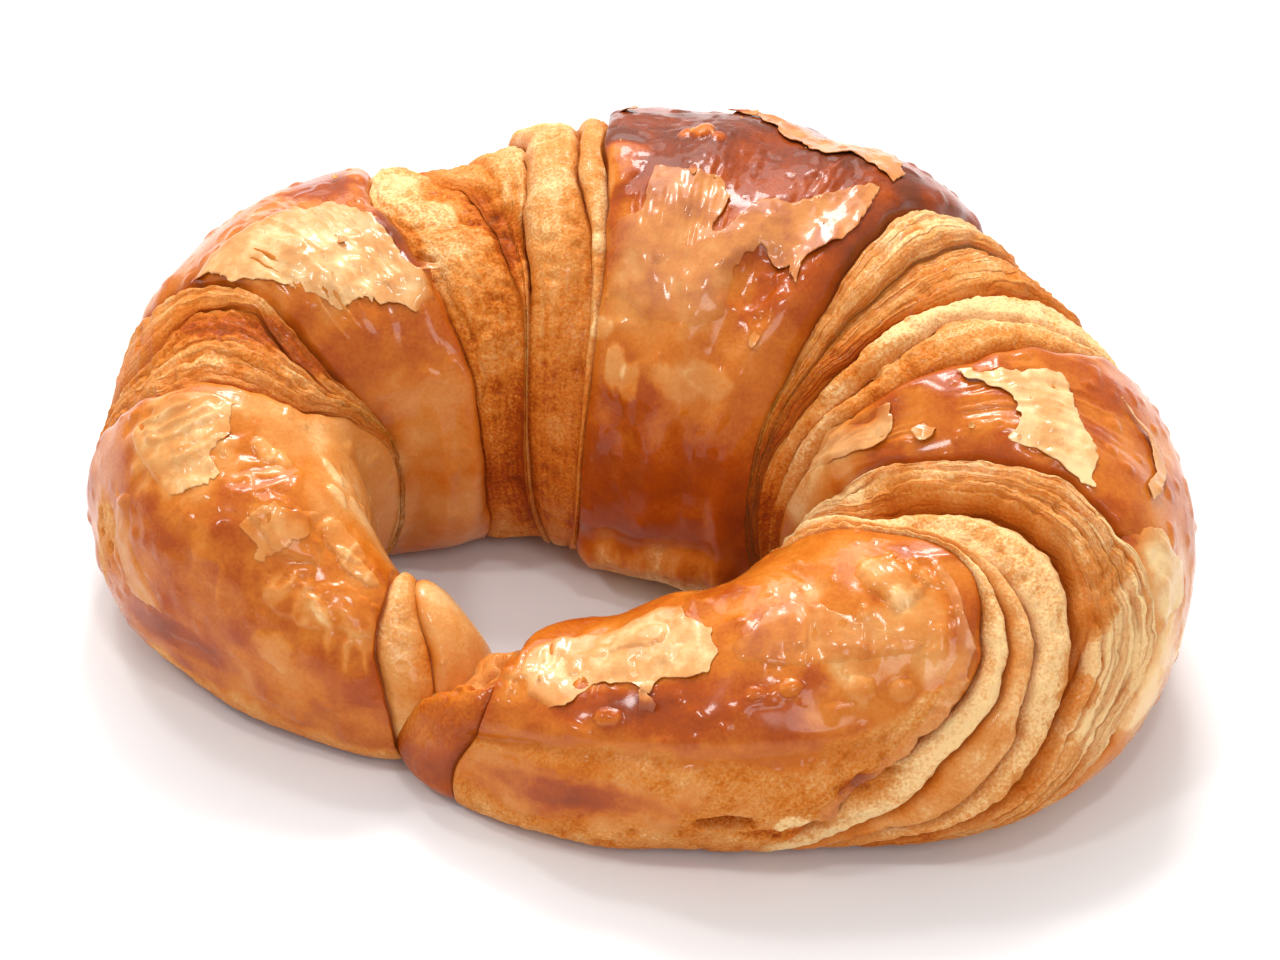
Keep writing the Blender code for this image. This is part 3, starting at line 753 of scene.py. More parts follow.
def pale_dough(share, turn, ragged):
    """How strongly each point belongs to the pale, rough dough low on the front arm."""
    places, turns = zip(*PALE_DOUGH_LINE)
    degrees = np.degrees(np.mod(turn + math.pi, 2 * math.pi) - math.pi)
    line = np.interp(share * 1000, places, turns) + PALE_DOUGH_WANDER * ragged
    inside = 1 - smooth_step(degrees, line - 3, line + 3)
    inside *= smooth_step(degrees, PALE_DOUGH_FOOT - 6, PALE_DOUGH_FOOT + 6)
    return inside * smooth_step(share * 1000, places[0] - 12, places[0] + 4)


class Dough:
    """The crust at some points of one band: where they lie and how they look."""

    def __init__(self, band, share_of_band, turn, sizes):
        start, end = edge_at(band, turn), edge_at(band + 1, turn)
        self.turn = turn
        self.share = start + (end - start) * share_of_band
        place = roll_point(self.share, turn, np.zeros_like(turn), 1.0)
        inside = np.clip(share_of_band, 0.0, 1.0)
        self.grain = grain_place(band, inside, turn)
        broad, middling, fine = (noise(place, *grain) for grain in (BROAD, MIDDLING, FINE))
        self.rough = np.full_like(turn, ROUGHNESS[band])
        self.browning = around(BROWNING[band], turn)
        self.lumps = np.zeros_like(turn)
        if BANDS[band][0] == "front arm":
            pale = pale_dough(self.share, turn, middling)
            self.rough = np.maximum(self.rough, PALE_DOUGH_ROUGHNESS * pale)
            self.browning += pale * (PALE_DOUGH_BROWNING / 100 - self.browning)
        self.browning += BROWNING_GAIN[band] * (inside - 0.5)
        reach = (start.min() - NEARBY, end.max() + NEARBY)
        ragged = 0.28 * middling + 0.14 * fine
        self.add_spots(reach, ragged)
        self.add_bubbles(reach, 0.24 * middling + 0.18 * fine + 0.10 * noise(place, *TEAR))
        self.add_wrinkles(reach, ragged, fine)
        rough = np.clip(self.rough, 0.0, 1.0)

        skin = (sizes.swelling / MM * (broad + 0.45 * middling)
                + sizes.pimples / MM * np.maximum(noise(place, *PIMPLE) - PIMPLE_START, 0))
        streak = stretched_noise(self.grain, *STREAK)
        pore = np.maximum(noise(place, *PORE) - PORE_START, 0.0)
        torn = (0.3 * sizes.swelling / MM * broad + 0.12 * fine + sizes.fibre / MM * streak
                + sizes.grit / MM * noise(place, *GRIT) - sizes.pores / MM * pore)
        lamina, groove = self.laminae(band, inside, sizes)
        small = skin * (1 - rough) + torn * rough + lamina + self.lumps
        to_tip = np.minimum(self.share, 1 - self.share)
        small *= TIP_RELIEF + (1 - TIP_RELIEF) * smooth_step(to_tip, 0.0, TIP_CALM)

        first_pace, last_pace = pace(start, turn), pace(end, turn)
        width = (end - start) * (first_pace + last_pace) / 2
        before = (start - edge_at(max(band - 1, 0), turn)) * first_pace
        after = (edge_at(min(band + 2, len(BANDS)), turn) - end) * last_pace
        keep = smooth_step(np.sin(turn), *UNDERSIDE_FADE)
        keep = UNDERSIDE_RELIEF + (1 - UNDERSIDE_RELIEF) * keep
        first_open = smooth_step(np.minimum(width, before), 0.0, MERGE_WIDTH)
        last_open = smooth_step(np.minimum(width, after), 0.0, MERGE_WIDTH)
        first, last = CREASE[band] * first_open, CREASE[band + 1] * last_open
        lip = np.minimum(LIP * (1 - TORN_LIP * ROUGHNESS[band]), WIDEST_LIP * width) + NO_WIDTH
        hollow = np.minimum(HOLLOW[band], WIDEST_HOLLOW * width) + NO_WIDTH
        from_first = 1 - rounded(inside * width, np.maximum(lip, hollow))
        from_last = 1 - rounded((1 - inside) * width, lip)
        if band == 0:
            from_first = np.zeros_like(from_first)
        if band == len(BANDS) - 1:
            from_last = np.zeros_like(from_last)
        folds, fold_depth = fold_relief(self.share, turn)
        crowding = smooth_step(pace(self.share, turn), 0.0, CROWDED_PACE)
        level = LEVEL[band] * smooth_step(width, 0.5, MERGE_WIDTH)
        top = level + SWELL[band] * (1 - (2 * inside - 1)**2)
        plain = (top + waves(self.share, turn)) * keep + folds
        quiet = 1 - np.maximum(from_first, from_last)
        cut = ((level + first) * from_first + (level + last) * from_last) * keep
        self.skin_relief = (plain + small * keep) * crowding
        self.relief = (plain - cut + small * keep * quiet) * crowding
        self.share = self.share + self.lean(band, inside, width, lip, (before, after),
                                            (first_pace, last_pace))

        # How deep each point lies in a crease, a fold's groove or a lamina's groove: where the
        # painted shade goes.
        crease = np.maximum(from_first * first, from_last * last) / FULL_CREASE
        self.crease = np.clip(crease + 0.5 * fold_depth + 0.7 * groove * quiet, 0.0, 1.0)
        self.browning += 0.10 * middling + 0.08 * broad
        # Torn dough is browner along its streaks, and in its sunk pores and the grooves between
        # laminae, where the browning is painted shade in those hollows.
        self.browning += rough * (0.06 * streak + 0.22 * pore + 0.26 * groove)
        lips = (1 - ROUGHNESS[band]) * np.maximum(from_first * first_open, from_last * last_open)
        self.browning += LIP_BROWNING * lips
        to_edge = np.minimum(inside, 1 - inside) * width
        self.browning += (TORN_LIP_BROWNING * ROUGHNESS[band] * np.exp(-to_edge / TORN_LIP_WIDTH)
                          * smooth_step(width, 1.0, MERGE_WIDTH))
        self.browning = np.clip(self.browning, 0.0, 1.0)
        self.rough = rough * (1 - lips)
        self.layers = rough * np.clip((LAMINAE[band] - 1) / (FULLY_LAYERED - 1), 0.0, 1.0)

    def add_spots(self, reach, ragged):
        """Add the soft spots within reach, each with a ragged edge."""
        for _name, spot, spot_turn, half_length, half_width, height, change, roughness in SPOTS:
            if reach[0] < spot / 1000 < reach[1]:
                distance = spot_distance(self.share, self.turn, spot, spot_turn, half_length,
                                         half_width)
                weight = 1 - smooth_step(distance + ragged, *SPOT_EDGE)
                self.lumps += height * weight
                self.browning += change / 100 * weight
                self.rough += roughness * weight

    def add_bubbles(self, reach, ragged):
        """Add the round bubbles within reach, each with a paler foot."""
        for _name, spot, spot_turn, half_length, half_width, height, change in BUBBLES:
            if reach[0] < spot / 1000 < reach[1]:
                distance = spot_distance(self.share, self.turn, spot, spot_turn, half_length,
                                         half_width)
                distance = np.maximum(distance + ragged, 0.0)
                weight = 1 - smooth_step(distance, *BUBBLE_EDGE)
                self.lumps += height * np.sqrt(np.maximum(1 - distance**2, 0.0))
                self.browning += change / 100 * weight
                foot = (distance - BUBBLE_FOOT) / BUBBLE_FOOT_WIDTH
                self.browning += BUBBLE_RIM * np.exp(-foot**2)

    def add_wrinkles(self, reach, ragged, fine):
        """Add the wrinkled patches within reach, paler along their ridges."""
        ridges = stretched_noise(self.grain, *WRINKLE_GRAIN)
        ridges = 0.5 - 1.6 * np.abs(ridges + 0.25 * fine)
        for _name, spot, spot_turn, half_length, half_width, height, change in WRINKLES:
            if reach[0] < spot / 1000 < reach[1]:
                distance = spot_distance(self.share, self.turn, spot, spot_turn, half_length,
                                         half_width)
                weight = 1 - smooth_step(distance + ragged, *SPOT_EDGE)
                self.lumps += height * weight * ridges
                self.browning += change / 100 * weight * smooth_step(ridges, -0.3, 0.4)

    def laminae(self, band, inside, sizes):
        """Thin layers across a band, in relief, and how deep in a groove each point lies."""
        count = LAMINAE[band]
        if not count:
            return np.zeros_like(inside), np.zeros_like(inside)
        wander = sum(share * stretched_noise(self.grain, *grain) for share, *grain in LAYER_WANDER)
        phase = inside * count + wander * smooth_step(inside * (1 - inside), 0.0, 0.1)
        layer = np.floor(phase)
        t = phase - layer
        if OVERHANG[band] < 0:
            t = 1 - t
        sheet = rounded(t, 0.75) * rounded(1 - t, LAMINA_EDGE)
        stand = lattice([layer.astype(np.int64), np.full_like(layer, band, dtype=np.int64),
                         np.zeros_like(layer, dtype=np.int64)], LAYER_STAND_SEED)
        between = smooth_step(phase, 0.3, 0.6) * smooth_step(count - phase, 0.3, 0.6)
        groove = (1 - smooth_step(sheet, 0.0, 0.75)) * between
        return sizes.laminae / MM * (sheet - 0.8 + 0.35 * stand), groove

    def lean(self, band, inside, width, lip, beside, paces):
        """Shift along the path that leans a band's lips out over its creases."""
        shift = np.zeros_like(inside)
        for distance, overhang, towards, neighbour, at_pace in (
                (inside * width, -OVERHANG[band], -1, beside[0], paces[0]),
                ((1 - inside) * width, OVERHANG[band + 1], 1, beside[1], paces[1])):
            if overhang > 0:
                t = distance / lip
                out = smooth_step(t, 0.0, 0.4) * (1 - smooth_step(t, 0.8, 3.0))
                out *= np.clip(1 - distance / np.maximum(width, 0.01), 0.0, 1.0)
                room = smooth_step(np.minimum(width, neighbour), 0.5, MERGE_WIDTH)
                reach = np.minimum(overhang * room, 0.4 * np.maximum(neighbour, 0.0))
                shift += towards * reach * out / np.maximum(at_pace, CROWDED_PACE)
        return shift


def band_rows(band, gap):
    """Shares across a band at which rows of points lie: close at its lips and at the tips."""
    width = float(np.max(EDGES[band + 1] - EDGES[band])) * LENGTH
    count = max(4, round(width / gap))
    if band == 0:
        return 1 - np.cos(np.linspace(0, math.pi / 2, count * 3 // 2)[:-1])
    if band == len(BANDS) - 1:
        return np.sin(np.linspace(0, math.pi / 2, count * 3 // 2)[:-1])
    t = np.arange(count) / count
    return t - 0.6 * np.sin(2 * math.pi * t) / (2 * math.pi)


def section_turns(columns):
    """Turns round the section, three times as close on the upper part as on the underside."""
    t = np.linspace(0, 2 * math.pi, 721)
    closeness = 1 + 2 * smooth_step(np.sin(t), -0.75, -0.35)
    reached = np.concatenate(([0.0], np.cumsum((closeness[1:] + closeness[:-1]) / 2)))
    return np.interp(np.arange(columns) / columns * reached[-1], reached, t)


def mesh_from(name, points, faces, fields):
    """A smooth mesh in metres from points in millimetres, with a value per point for each field."""
    mesh = bpy.data.meshes.new(name)
    mesh.from_pydata((np.asarray(points) * MM).tolist(), [], faces)
    for field, values in fields.items():
        kind, slot = ("FLOAT_VECTOR", "vector") if values.ndim == 2 else ("FLOAT", "value")
        attribute = mesh.attributes.new(field, kind, "POINT")
        attribute.data.foreach_set(slot, values.astype(np.float32).ravel())
    mesh.shade_smooth()
    mesh.update()
    piece = bpy.data.objects.new(name, mesh)
    bpy.context.scene.collection.objects.link(piece)
    return piece


def as_crust(piece, material):
    """Finish a piece: its material, the body it rides on, and the node that it stands for."""
    piece.data.materials.clear()
    piece.data.materials.append(material)
    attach(piece, BODY)
    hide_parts(NODE)


def closed_tube_faces(rings, columns):
    """Faces of a tube of rings whose first and last rings are single points."""
    count = rings - 2
    c = np.arange(columns)
    n = (c + 1) % columns
    first = np.column_stack((np.zeros_like(c), 1 + n, 1 + c)).tolist()
    start = 1 + (count - 1) * columns
    last = np.column_stack((np.full_like(c, 1 + count * columns), start + c, start + n)).tolist()
    a = (1 + np.arange(count - 1) * columns)[:, None]
    sides = np.stack((a + c, a + n, a + columns + n, a + columns + c), axis=-1)
    return first + last + sides.reshape(-1, 4).tolist()


def tucked_rings(edge, turn, away):
    """Rings that close a length of crust inside its neighbour, from the point outwards."""
    depth = np.full_like(turn, -CREASE[edge] - TUCK_DEPTH)
    share = edge_at(edge, turn)
    return [roll_point(share + away * TUCK * step, turn, depth, shrink)
            for step, shrink in TUCK_STEPS]


def crust_length(name, first_band, last_band, sizes):
    """One closed length of crust, with its browning, roughness, creases and grain."""
    turn = section_turns(sizes.columns)
    columns = len(turn)
    points, fields = [], {field: [] for field in FIELDS}
    for band in range(first_band, last_band):
        rows = band_rows(band, sizes.row_gap / MM)
        if band == last_band - 1 and last_band < len(BANDS):
            rows = np.append(rows, 1.0)
        dough = Dough(band, np.repeat(rows, columns), np.tile(turn, len(rows)), sizes)
        points.append(roll_point(dough.share, dough.turn, dough.relief, 1.0))
        for field in fields:
            fields[field].append(getattr(dough, field))
    points = np.concatenate(points)
    fields = {field: np.concatenate(values) for field, values in fields.items()}
    before, after = [], []
    if first_band > 0:
        before = tucked_rings(first_band, turn, -1)
    if last_band < len(BANDS):
        after = tucked_rings(last_band, turn, 1)[::-1]
    rings = before + [points] + after
    start_field = {field: values[:columns] for field, values in fields.items()}
    end_field = {field: values[-columns:] for field, values in fields.items()}
    fields = {field: np.concatenate([start_field[field]] * len(before) + [values]
                                    + [end_field[field]] * len(after))
              for field, values in fields.items()}
    points = np.concatenate(rings)
    ring_count = len(points) // columns
    if last_band == len(BANDS):
        tip = roll_point(np.ones(columns), turn, np.zeros(columns), 0.0)
        points = np.concatenate((points, tip))
        fields = {field: np.concatenate((values, end_field[field]))
                  for field, values in fields.items()}
        ring_count += 1
    kept = np.concatenate(([0], np.arange(columns, (ring_count - 1) * columns),
                           [(ring_count - 1) * columns]))
    fields = {field: values[kept] for field, values in fields.items()}
    return mesh_from(name, points[kept], closed_tube_faces(ring_count, columns), fields)


def outline_distances(places, corners):
    """Signed distance of places to an outline, plus inside, and distance to each of its edges."""
    inside = np.zeros(len(places), bool)
    edges = []
    for (x0, y0), (x1, y1) in zip(corners, np.roll(corners, -1, axis=0)):
        crosses = (y0 > places[:, 1]) != (y1 > places[:, 1])
        with np.errstate(divide="ignore", invalid="ignore"):
            at = x0 + (places[:, 1] - y0) * (x1 - x0) / (y1 - y0)
        inside ^= crosses & (places[:, 0] < at)
        run = np.array((x1 - x0, y1 - y0))
        offset = places - (x0, y0)
        t = np.clip(offset @ run / (run @ run), 0, 1)
        edges.append(np.linalg.norm(offset - t[:, None] * run, axis=1))
    edges = np.array(edges)
    return np.where(inside, 1, -1) * edges.min(axis=0), edges


def clipped_grid(places, field, columns, rows):
    """Triangles of a grid clipped where its field is above zero, with points cut on its edges."""
    used, points, cuts = {}, [], {}

    def corner(i):
        if i not in used:
            used[i] = len(points)
            points.append(places[i])
        return used[i]

    def cut(i, j):
        key = (min(i, j), max(i, j))
        if key not in cuts:
            i, j = key
            t = field[i] / (field[i] - field[j])
            cuts[key] = len(points)
            points.append(places[i] + (places[j] - places[i]) * t)
        return cuts[key]

    triangles = []
    above = field > 0
    for r in range(rows - 1):
        for c in range(columns - 1):
            a = r * columns + c
            b, d = a + 1, a + columns
            if not (above[a] or above[b] or above[d] or above[d + 1]):
                continue
            for three in ((a, b, d + 1), (a, d + 1, d)):
                loop = []
                for i, j in zip(three, three[1:] + three[:1]):
                    if above[i]:
                        loop.append(corner(i))
                    if above[i] != above[j]:
                        loop.append(cut(i, j))
                triangles += [(loop[0], loop[k], loop[k + 1]) for k in range(1, len(loop) - 1)]
    return np.array(points), triangles


def two_sided(triangles, count):
    """Faces of a closed sheet: the top's, the underside's turned over, and its rim."""
    faces = list(triangles) + [(a + count, c + count, b + count) for a, b, c in triangles]
    sides = {(i, j) for a, b, c in triangles for i, j in ((a, b), (b, c), (c, a))}
    for i, j in sorted(sides):
        if (j, i) not in sides:
            faces.append((j, i, i + count, j + count))
    return faces


def film_mesh(name, band_name, browning, gap, lift, corners, torn, origin, sizes, thickness):
    """A thin closed sheet over the crust, given by its outline in millimetres from an origin."""
    band = BAND_NUMBER[band_name]
    low, high = corners.min(axis=0) - FILM_MARGIN, corners.max(axis=0) + FILM_MARGIN
    columns, rows = (np.ceil((high - low) / FILM_CELL) + 1).astype(int)
    x, y = np.meshgrid(low[0] + np.arange(columns) * FILM_CELL,
                       low[1] + np.arange(rows) * FILM_CELL)
    places = np.column_stack((x.ravel(), y.ravel()))
    signed, _edges = outline_distances(places, corners)
    flat = np.column_stack((places + origin[:1], np.full(len(places), BITE_BAND_STEP * band)))
    bites = sum(depth * np.abs(noise(flat, size, BITE_SEED)) for size, depth in TORN_BITES)
    field = signed - bites * min(1.0, signed.max() / BITTEN_WIDTH)
    points, triangles = clipped_grid(places, field, columns, rows)
    _signed, edges = outline_distances(points, corners)
    far = np.full(len(points), FAR_AWAY)
    to_torn = np.min(edges[torn], axis=0) if torn.any() else far
    to_merged = np.min(edges[~torn], axis=0) if (~torn).any() else far

    middle_share, middle_turn, share_length = origin
    share = middle_share + points[:, 0] / share_length
    turn = np.radians(middle_turn + points[:, 1] / DEGREE_ARC)
    start, end = edge_at(band, turn), edge_at(band + 1, turn)
    dough = Dough(band, (share - start) / (end - start), turn, sizes)
    base = roll_point(share, turn, np.zeros_like(turn), 1.0)
    wrinkle = noise(base * (1.0, 0.45, 1.0), *FILM_WRINKLE)
    ripple = noise(base, *FILM_RIPPLE)
    joined = smooth_step(to_merged, 0.0, FILM_REACH)
    height = gap + (0.12 * wrinkle + 0.14 * ripple) * joined
    curl = 0.5 + 0.7 * noise(base, *FILM_CURL_GRAIN)
    height += lift * joined * np.exp(-to_torn / FILM_CURL) * curl
    height -= (gap + FILM_SINK) * (1 - joined)
    top = roll_point(share, turn, dough.skin_relief + height, 1.0)
    under = roll_point(share, turn, dough.skin_relief + height - thickness, 1.0)
    blend = smooth_step(to_merged, 0.5, FILM_REACH + 1.5)
    film_browning = (0.8 * browning / 100 + 0.2 * dough.browning + 0.09 * ripple
                     + 0.06 * wrinkle)
    # Paler within about half a millimetre of a torn edge: a painted highlight where the edge's
    # thickness catches the light.
    film_browning += 0.07 * noise(base, *FILM_SPECK) - 0.08 * np.exp(-to_torn / 0.4)
    film_browning = dough.browning + (film_browning - dough.browning) * blend
    both = {
        "browning": np.clip(film_browning, 0.0, 1.0),
        "rough": dough.rough * 0.5 + 0.10,
        "crease": np.zeros(len(points)),
        "layers": np.zeros(len(points)),
        # how much beige the film takes on: partly its own paler tone, partly a painted sheen
        "film": np.minimum(FILM_PALING * lift, FILM_PALEST) * blend,
        "grain": dough.grain,
    }
    both = {field_name: np.concatenate((values, values)) for field_name, values in both.items()}
    return mesh_from(name, np.concatenate((top, under)), two_sided(triangles, len(points)), both)


def film_from_outline(film, sizes, thickness):
    """A peeled film whose outline is given by places and turns."""
    name, band_name, browning, gap, lift, outline = film
    outline = np.array(outline, float)
    share, turn = outline[:, 0] / 1000, outline[:, 1]
    middle_share, middle_turn = share.mean(), turn.mean()
    length = pace(np.array([middle_share]), np.radians([middle_turn]))[0]
    corners = np.column_stack(((share - middle_share) * length, (turn - middle_turn) * DEGREE_ARC))
    origin = (middle_share, middle_turn, length)
    return film_mesh(name, band_name, browning, gap, lift, corners, outline[:, 2] > 0, origin,
                     sizes, thickness)


def scrap_from_oval(scrap, sizes, thickness):
    """A loose scrap: a pointed oval, held at its narrow end and lifted along its sides."""
    name, band_name, place, turn, long, wide, way, browning, lift = scrap
    angles = np.linspace(0, 2 * math.pi, SCRAP_CORNERS, endpoint=False)
    uneven = 1.0 + SCRAP_UNEVEN * np.cos(3 * angles + place)
    along = np.cos(angles) * long / 2 + SCRAP_SHIFT[0]
    across = np.sin(angles) * wide / 2 * uneven + SCRAP_SHIFT[1]
    c, s = math.cos(math.radians(way)), math.sin(math.radians(way))
    corners = np.column_stack((along * c - across * s, along * s + across * c))
    torn = np.abs(angles - math.pi) > SCRAP_HELD
    length = pace(np.array([place / 1000]), np.radians([turn]))[0]
    return film_mesh(name, band_name, browning, SCRAP_GAP, lift, corners, torn,
                     (place / 1000, turn, length), sizes, thickness)


def new_tree(name, kind, inputs, outputs):
    """A node tree with named inputs and outputs."""
    tree = bpy.data.node_groups.new(name, kind)
    for in_out, sockets in (("INPUT", inputs), ("OUTPUT", outputs)):
        for socket_name, socket_kind, default in sockets:
            socket = tree.interface.new_socket(socket_name, in_out=in_out, socket_type=socket_kind)
            if default is not None:
                socket.default_value = default
    return tree


class Wiring:
    """Adds nodes to a tree and links them by name."""

    def __init__(self, tree):
        self.tree = tree

    def add(self, kind, values=None, **settings):
        """A node with settings; values are numbers or output sockets, by input name or number."""
        node = self.tree.nodes.new(kind)
        for key, value in settings.items():
            setattr(node, key, value)
        for key, value in (values or {}).items():
            if isinstance(value, bpy.types.NodeSocket):
                self.tree.links.new(value, node.inputs[key])
            else:
                node.inputs[key].default_value = value
        return node

    def math(self, operation, a, b=0.0, clamp=False):
        return self.add("ShaderNodeMath", {0: a, 1: b}, operation=operation,
                        use_clamp=clamp).outputs[0]

    def noise(self, vector, scale, detail, distortion=0.0):
        node = self.add("ShaderNodeTexNoise", {"Vector": vector, "Scale": scale, "Detail": detail,
                                               "Distortion": distortion})
        return node.outputs["Fac"]

    def colour_mix(self, amount, first, second, blend="MIX"):
        node = self.add("ShaderNodeMix", {0: amount, 6: first, 7: second}, data_type="RGBA",
                        blend_type=blend)
        return node.outputs[2]


def dough_grain_group():
    """Grain of baked dough: mottled browning, pores and streaks where it is torn, fine relief."""
    tree = new_tree(
        "Dough grain", "ShaderNodeTree",
        (("Place", "NodeSocketVector", None), ("Grain", "NodeSocketVector", None),
         ("Rough", "NodeSocketFloat", 0.0), ("Layers", "NodeSocketFloat", 0.0)),
        (("Mottle", "NodeSocketFloat", None), ("Torn", "NodeSocketFloat", None),
         ("Lines", "NodeSocketFloat", None), ("Height", "NodeSocketFloat", None)))
    w = Wiring(tree)
    given = w.add("NodeGroupInput").outputs
    coarse = w.noise(given["Place"], MOTTLE_GRAINS, 4.0, 0.4)
    fine = w.noise(given["Place"], SKIN_GRAINS, 3.0)
    pores = w.noise(given["Place"], PORE_GRAINS, 3.0, 0.3)
    along = w.add("ShaderNodeVectorMath", {0: given["Grain"], 1: STREAK_GRAINS},
                  operation="MULTIPLY").outputs[0]
    streak = w.noise(along, 1.0, 4.0, 0.2)
    # Fine lines between the sheets: sunk in relief, and given the painted shade of a crease by the
    # material.
    sheets = w.add("ShaderNodeVectorMath", {0: given["Grain"], 1: LINE_GRAINS},
                   operation="MULTIPLY").outputs[0]
    away = w.math("ABSOLUTE", w.math("SUBTRACT", w.noise(sheets, 1.0, 2.5), 0.5))
    lines = w.math("SUBTRACT", 1.0, w.math("MULTIPLY", away, 12.0), clamp=True)
    lines = w.math("MULTIPLY", lines, given["Layers"])
    mottle = w.math("ADD", w.math("MULTIPLY", coarse, 0.65), w.math("MULTIPLY", fine, 0.35))
    torn = w.math("ADD", w.math("MULTIPLY", pores, 0.7), w.math("MULTIPLY", streak, 0.3))
    skin = w.math("MULTIPLY", fine, 0.40)
    height = w.math("ADD", skin, w.math("MULTIPLY", torn, w.math("MULTIPLY", given["Rough"], 2.2)))
    height = w.math("SUBTRACT", height, w.math("MULTIPLY", lines, 1.8))
    w.add("NodeGroupOutput", {"Mottle": mottle, "Torn": torn, "Lines": lines, "Height": height})
    return tree


def baked_colour_group(colours):
    """Colour of dough by its browning, mixed towards the painted shade of a crease."""
    tree = new_tree(
        "Baked colour", "ShaderNodeTree",
        (("Browning", "NodeSocketFloat", 0.5), ("Crease", "NodeSocketFloat", 0.0)),
        (("Colour", "NodeSocketColor", None),))
    w = Wiring(tree)
    given = w.add("NodeGroupInput").outputs
    ramp = w.add("ShaderNodeValToRGB", {0: given["Browning"]})
    baked = (colours.cream, colours.golden, colours.orange, colours.deep, colours.red,
             colours.dark)
    elements = ramp.color_ramp.elements
    while len(elements) < len(BAKE_STOPS):
        elements.new(0.5)
    for element, position, colour in zip(elements, BAKE_STOPS, baked):
        element.position = position
        element.color = colour
    mixed = w.colour_mix(given["Crease"], ramp.outputs["Color"], tuple(colours.crease))
    w.add("NodeGroupOutput", {"Colour": mixed})
    return tree


def dough_material(name, groups, roughness, coat, bump, translucence):
    """Baked dough: glossy where it is skin, dull and streaked where it is torn.

    The groups are the dough's grain and its colour; roughness is the glossiest skin's.
    """
    grain_group, colour_group = groups
    material = bpy.data.materials.new(name)
    material.use_nodes = True
    tree = material.node_tree
    w = Wiring(tree)
    shader = tree.nodes["Principled BSDF"]
    place = w.add("ShaderNodeTexCoord").outputs["Object"]
    read = {field: w.add("ShaderNodeAttribute", attribute_name=field).outputs[out]
            for field, out in (("browning", "Fac"), ("rough", "Fac"), ("crease", "Fac"),
                               ("layers", "Fac"), ("film", "Fac"), ("grain", "Vector"))}
    grain = w.add("ShaderNodeGroup", {}, node_tree=grain_group)
    tree.links.new(place, grain.inputs["Place"])
    tree.links.new(read["grain"], grain.inputs["Grain"])
    tree.links.new(read["rough"], grain.inputs["Rough"])
    tree.links.new(read["layers"], grain.inputs["Layers"])
    mottle = w.math("SUBTRACT", grain.outputs["Mottle"], 0.5)
    mottle = w.math("MULTIPLY", mottle, MOTTLE_CONTRAST)
    even = w.math("SUBTRACT", 1.0, w.math("MULTIPLY", read["rough"], 0.6))
    mottle = w.math("MULTIPLY", mottle, even)
    # Torn dough is browner where its grain lies low in relief: painted shade in its pits.
    torn = w.math("MULTIPLY", w.math("SUBTRACT", 0.5, grain.outputs["Torn"]), TORN_CONTRAST)
    torn = w.math("MULTIPLY", torn, read["rough"])
    browning = w.math("ADD", read["browning"], w.math("ADD", mottle, torn), clamp=True)
    # Creases and the fine lines between laminae are mixed towards the painted shade of a crease.
    crease = w.math("MULTIPLY", read["crease"], CREASE_SHADE_TINT)
    lines = w.math("MULTIPLY", grain.outputs["Lines"], LINE_SHADE_TINT)
    crease = w.math("ADD", crease, lines, clamp=True)
    colour = w.add("ShaderNodeGroup", {}, node_tree=colour_group)
    tree.links.new(browning, colour.inputs["Browning"])
    tree.links.new(crease, colour.inputs["Crease"])
    # Lifted films are mixed towards beige: partly their own paler tone, partly a painted sheen.
    pale = w.colour_mix(read["film"], colour.outputs["Colour"], FILM_BEIGE_AND_SHEEN)
    tree.links.new(pale, shader.inputs["Base Color"])
    dull = w.math("MULTIPLY", read["rough"], 0.45)
    uneven = w.math("MULTIPLY", grain.outputs["Mottle"], 0.20)
    dull = w.math("ADD", w.math("ADD", dull, uneven), roughness)
    tree.links.new(dull, shader.inputs["Roughness"])
    skin = w.math("SUBTRACT", 1.0, read["rough"])
    tree.links.new(w.math("MULTIPLY", skin, coat, clamp=True), shader.inputs["Coat Weight"])
    shader.inputs["Coat Roughness"].default_value = 0.12
    shader.inputs["Specular IOR Level"].default_value = 0.06
    shader.inputs["Subsurface Weight"].default_value = translucence
    shader.inputs["Subsurface Radius"].default_value = (1.0, 0.40, 0.15)
    shader.inputs["Subsurface Scale"].default_value = 0.0020
    relief = w.add("ShaderNodeBump", {"Height": grain.outputs["Height"], "Strength": 0.8,
                                      "Distance": bump})
    tree.links.new(relief.outputs["Normal"], shader.inputs["Normal"])
    return material


def dough_materials(colours):
    """The materials of the crust, the films and the crumbs, made once."""
    if "crust_baked" not in bpy.data.materials:
        groups = (dough_grain_group(), baked_colour_group(colours))
        dough_material("crust_baked", groups, roughness=0.14, coat=0.42, bump=0.00026,
                       translucence=0.25)
        dough_material("film_baked", groups, roughness=0.14, coat=0.55, bump=0.00018,
                       translucence=0.0)
        dough_material("crumb_baked", groups, roughness=0.35, coat=0.0, bump=0.00010,
                       translucence=0.0)
    return bpy.data.materials


def shard(name, outline):
    """A small bent flake one metre wide, from an outline, to be scaled when it is laid."""
    outer = [(x, y, -SHARD_BEND * (x * x + y * y)) for x, y in outline]
    count = len(outer)
    points = outer + [(x, y, z - SHARD_THICKNESS) for x, y, z in outer]
    points += [(0.0, 0.0, SHARD_BEND / 2), (0.0, 0.0, SHARD_BEND / 2 - SHARD_THICKNESS)]
    faces = []
    for i in range(count):
        j = (i + 1) % count
        faces.append((i, j, 2 * count))
        faces.append((j + count, i + count, 2 * count + 1))
        faces.append((j, i, i + count, j + count))
    mesh = bpy.data.meshes.new(name)
    mesh.from_pydata(points, [], faces)
    mesh.update()
    return bpy.data.objects.new(name, mesh)


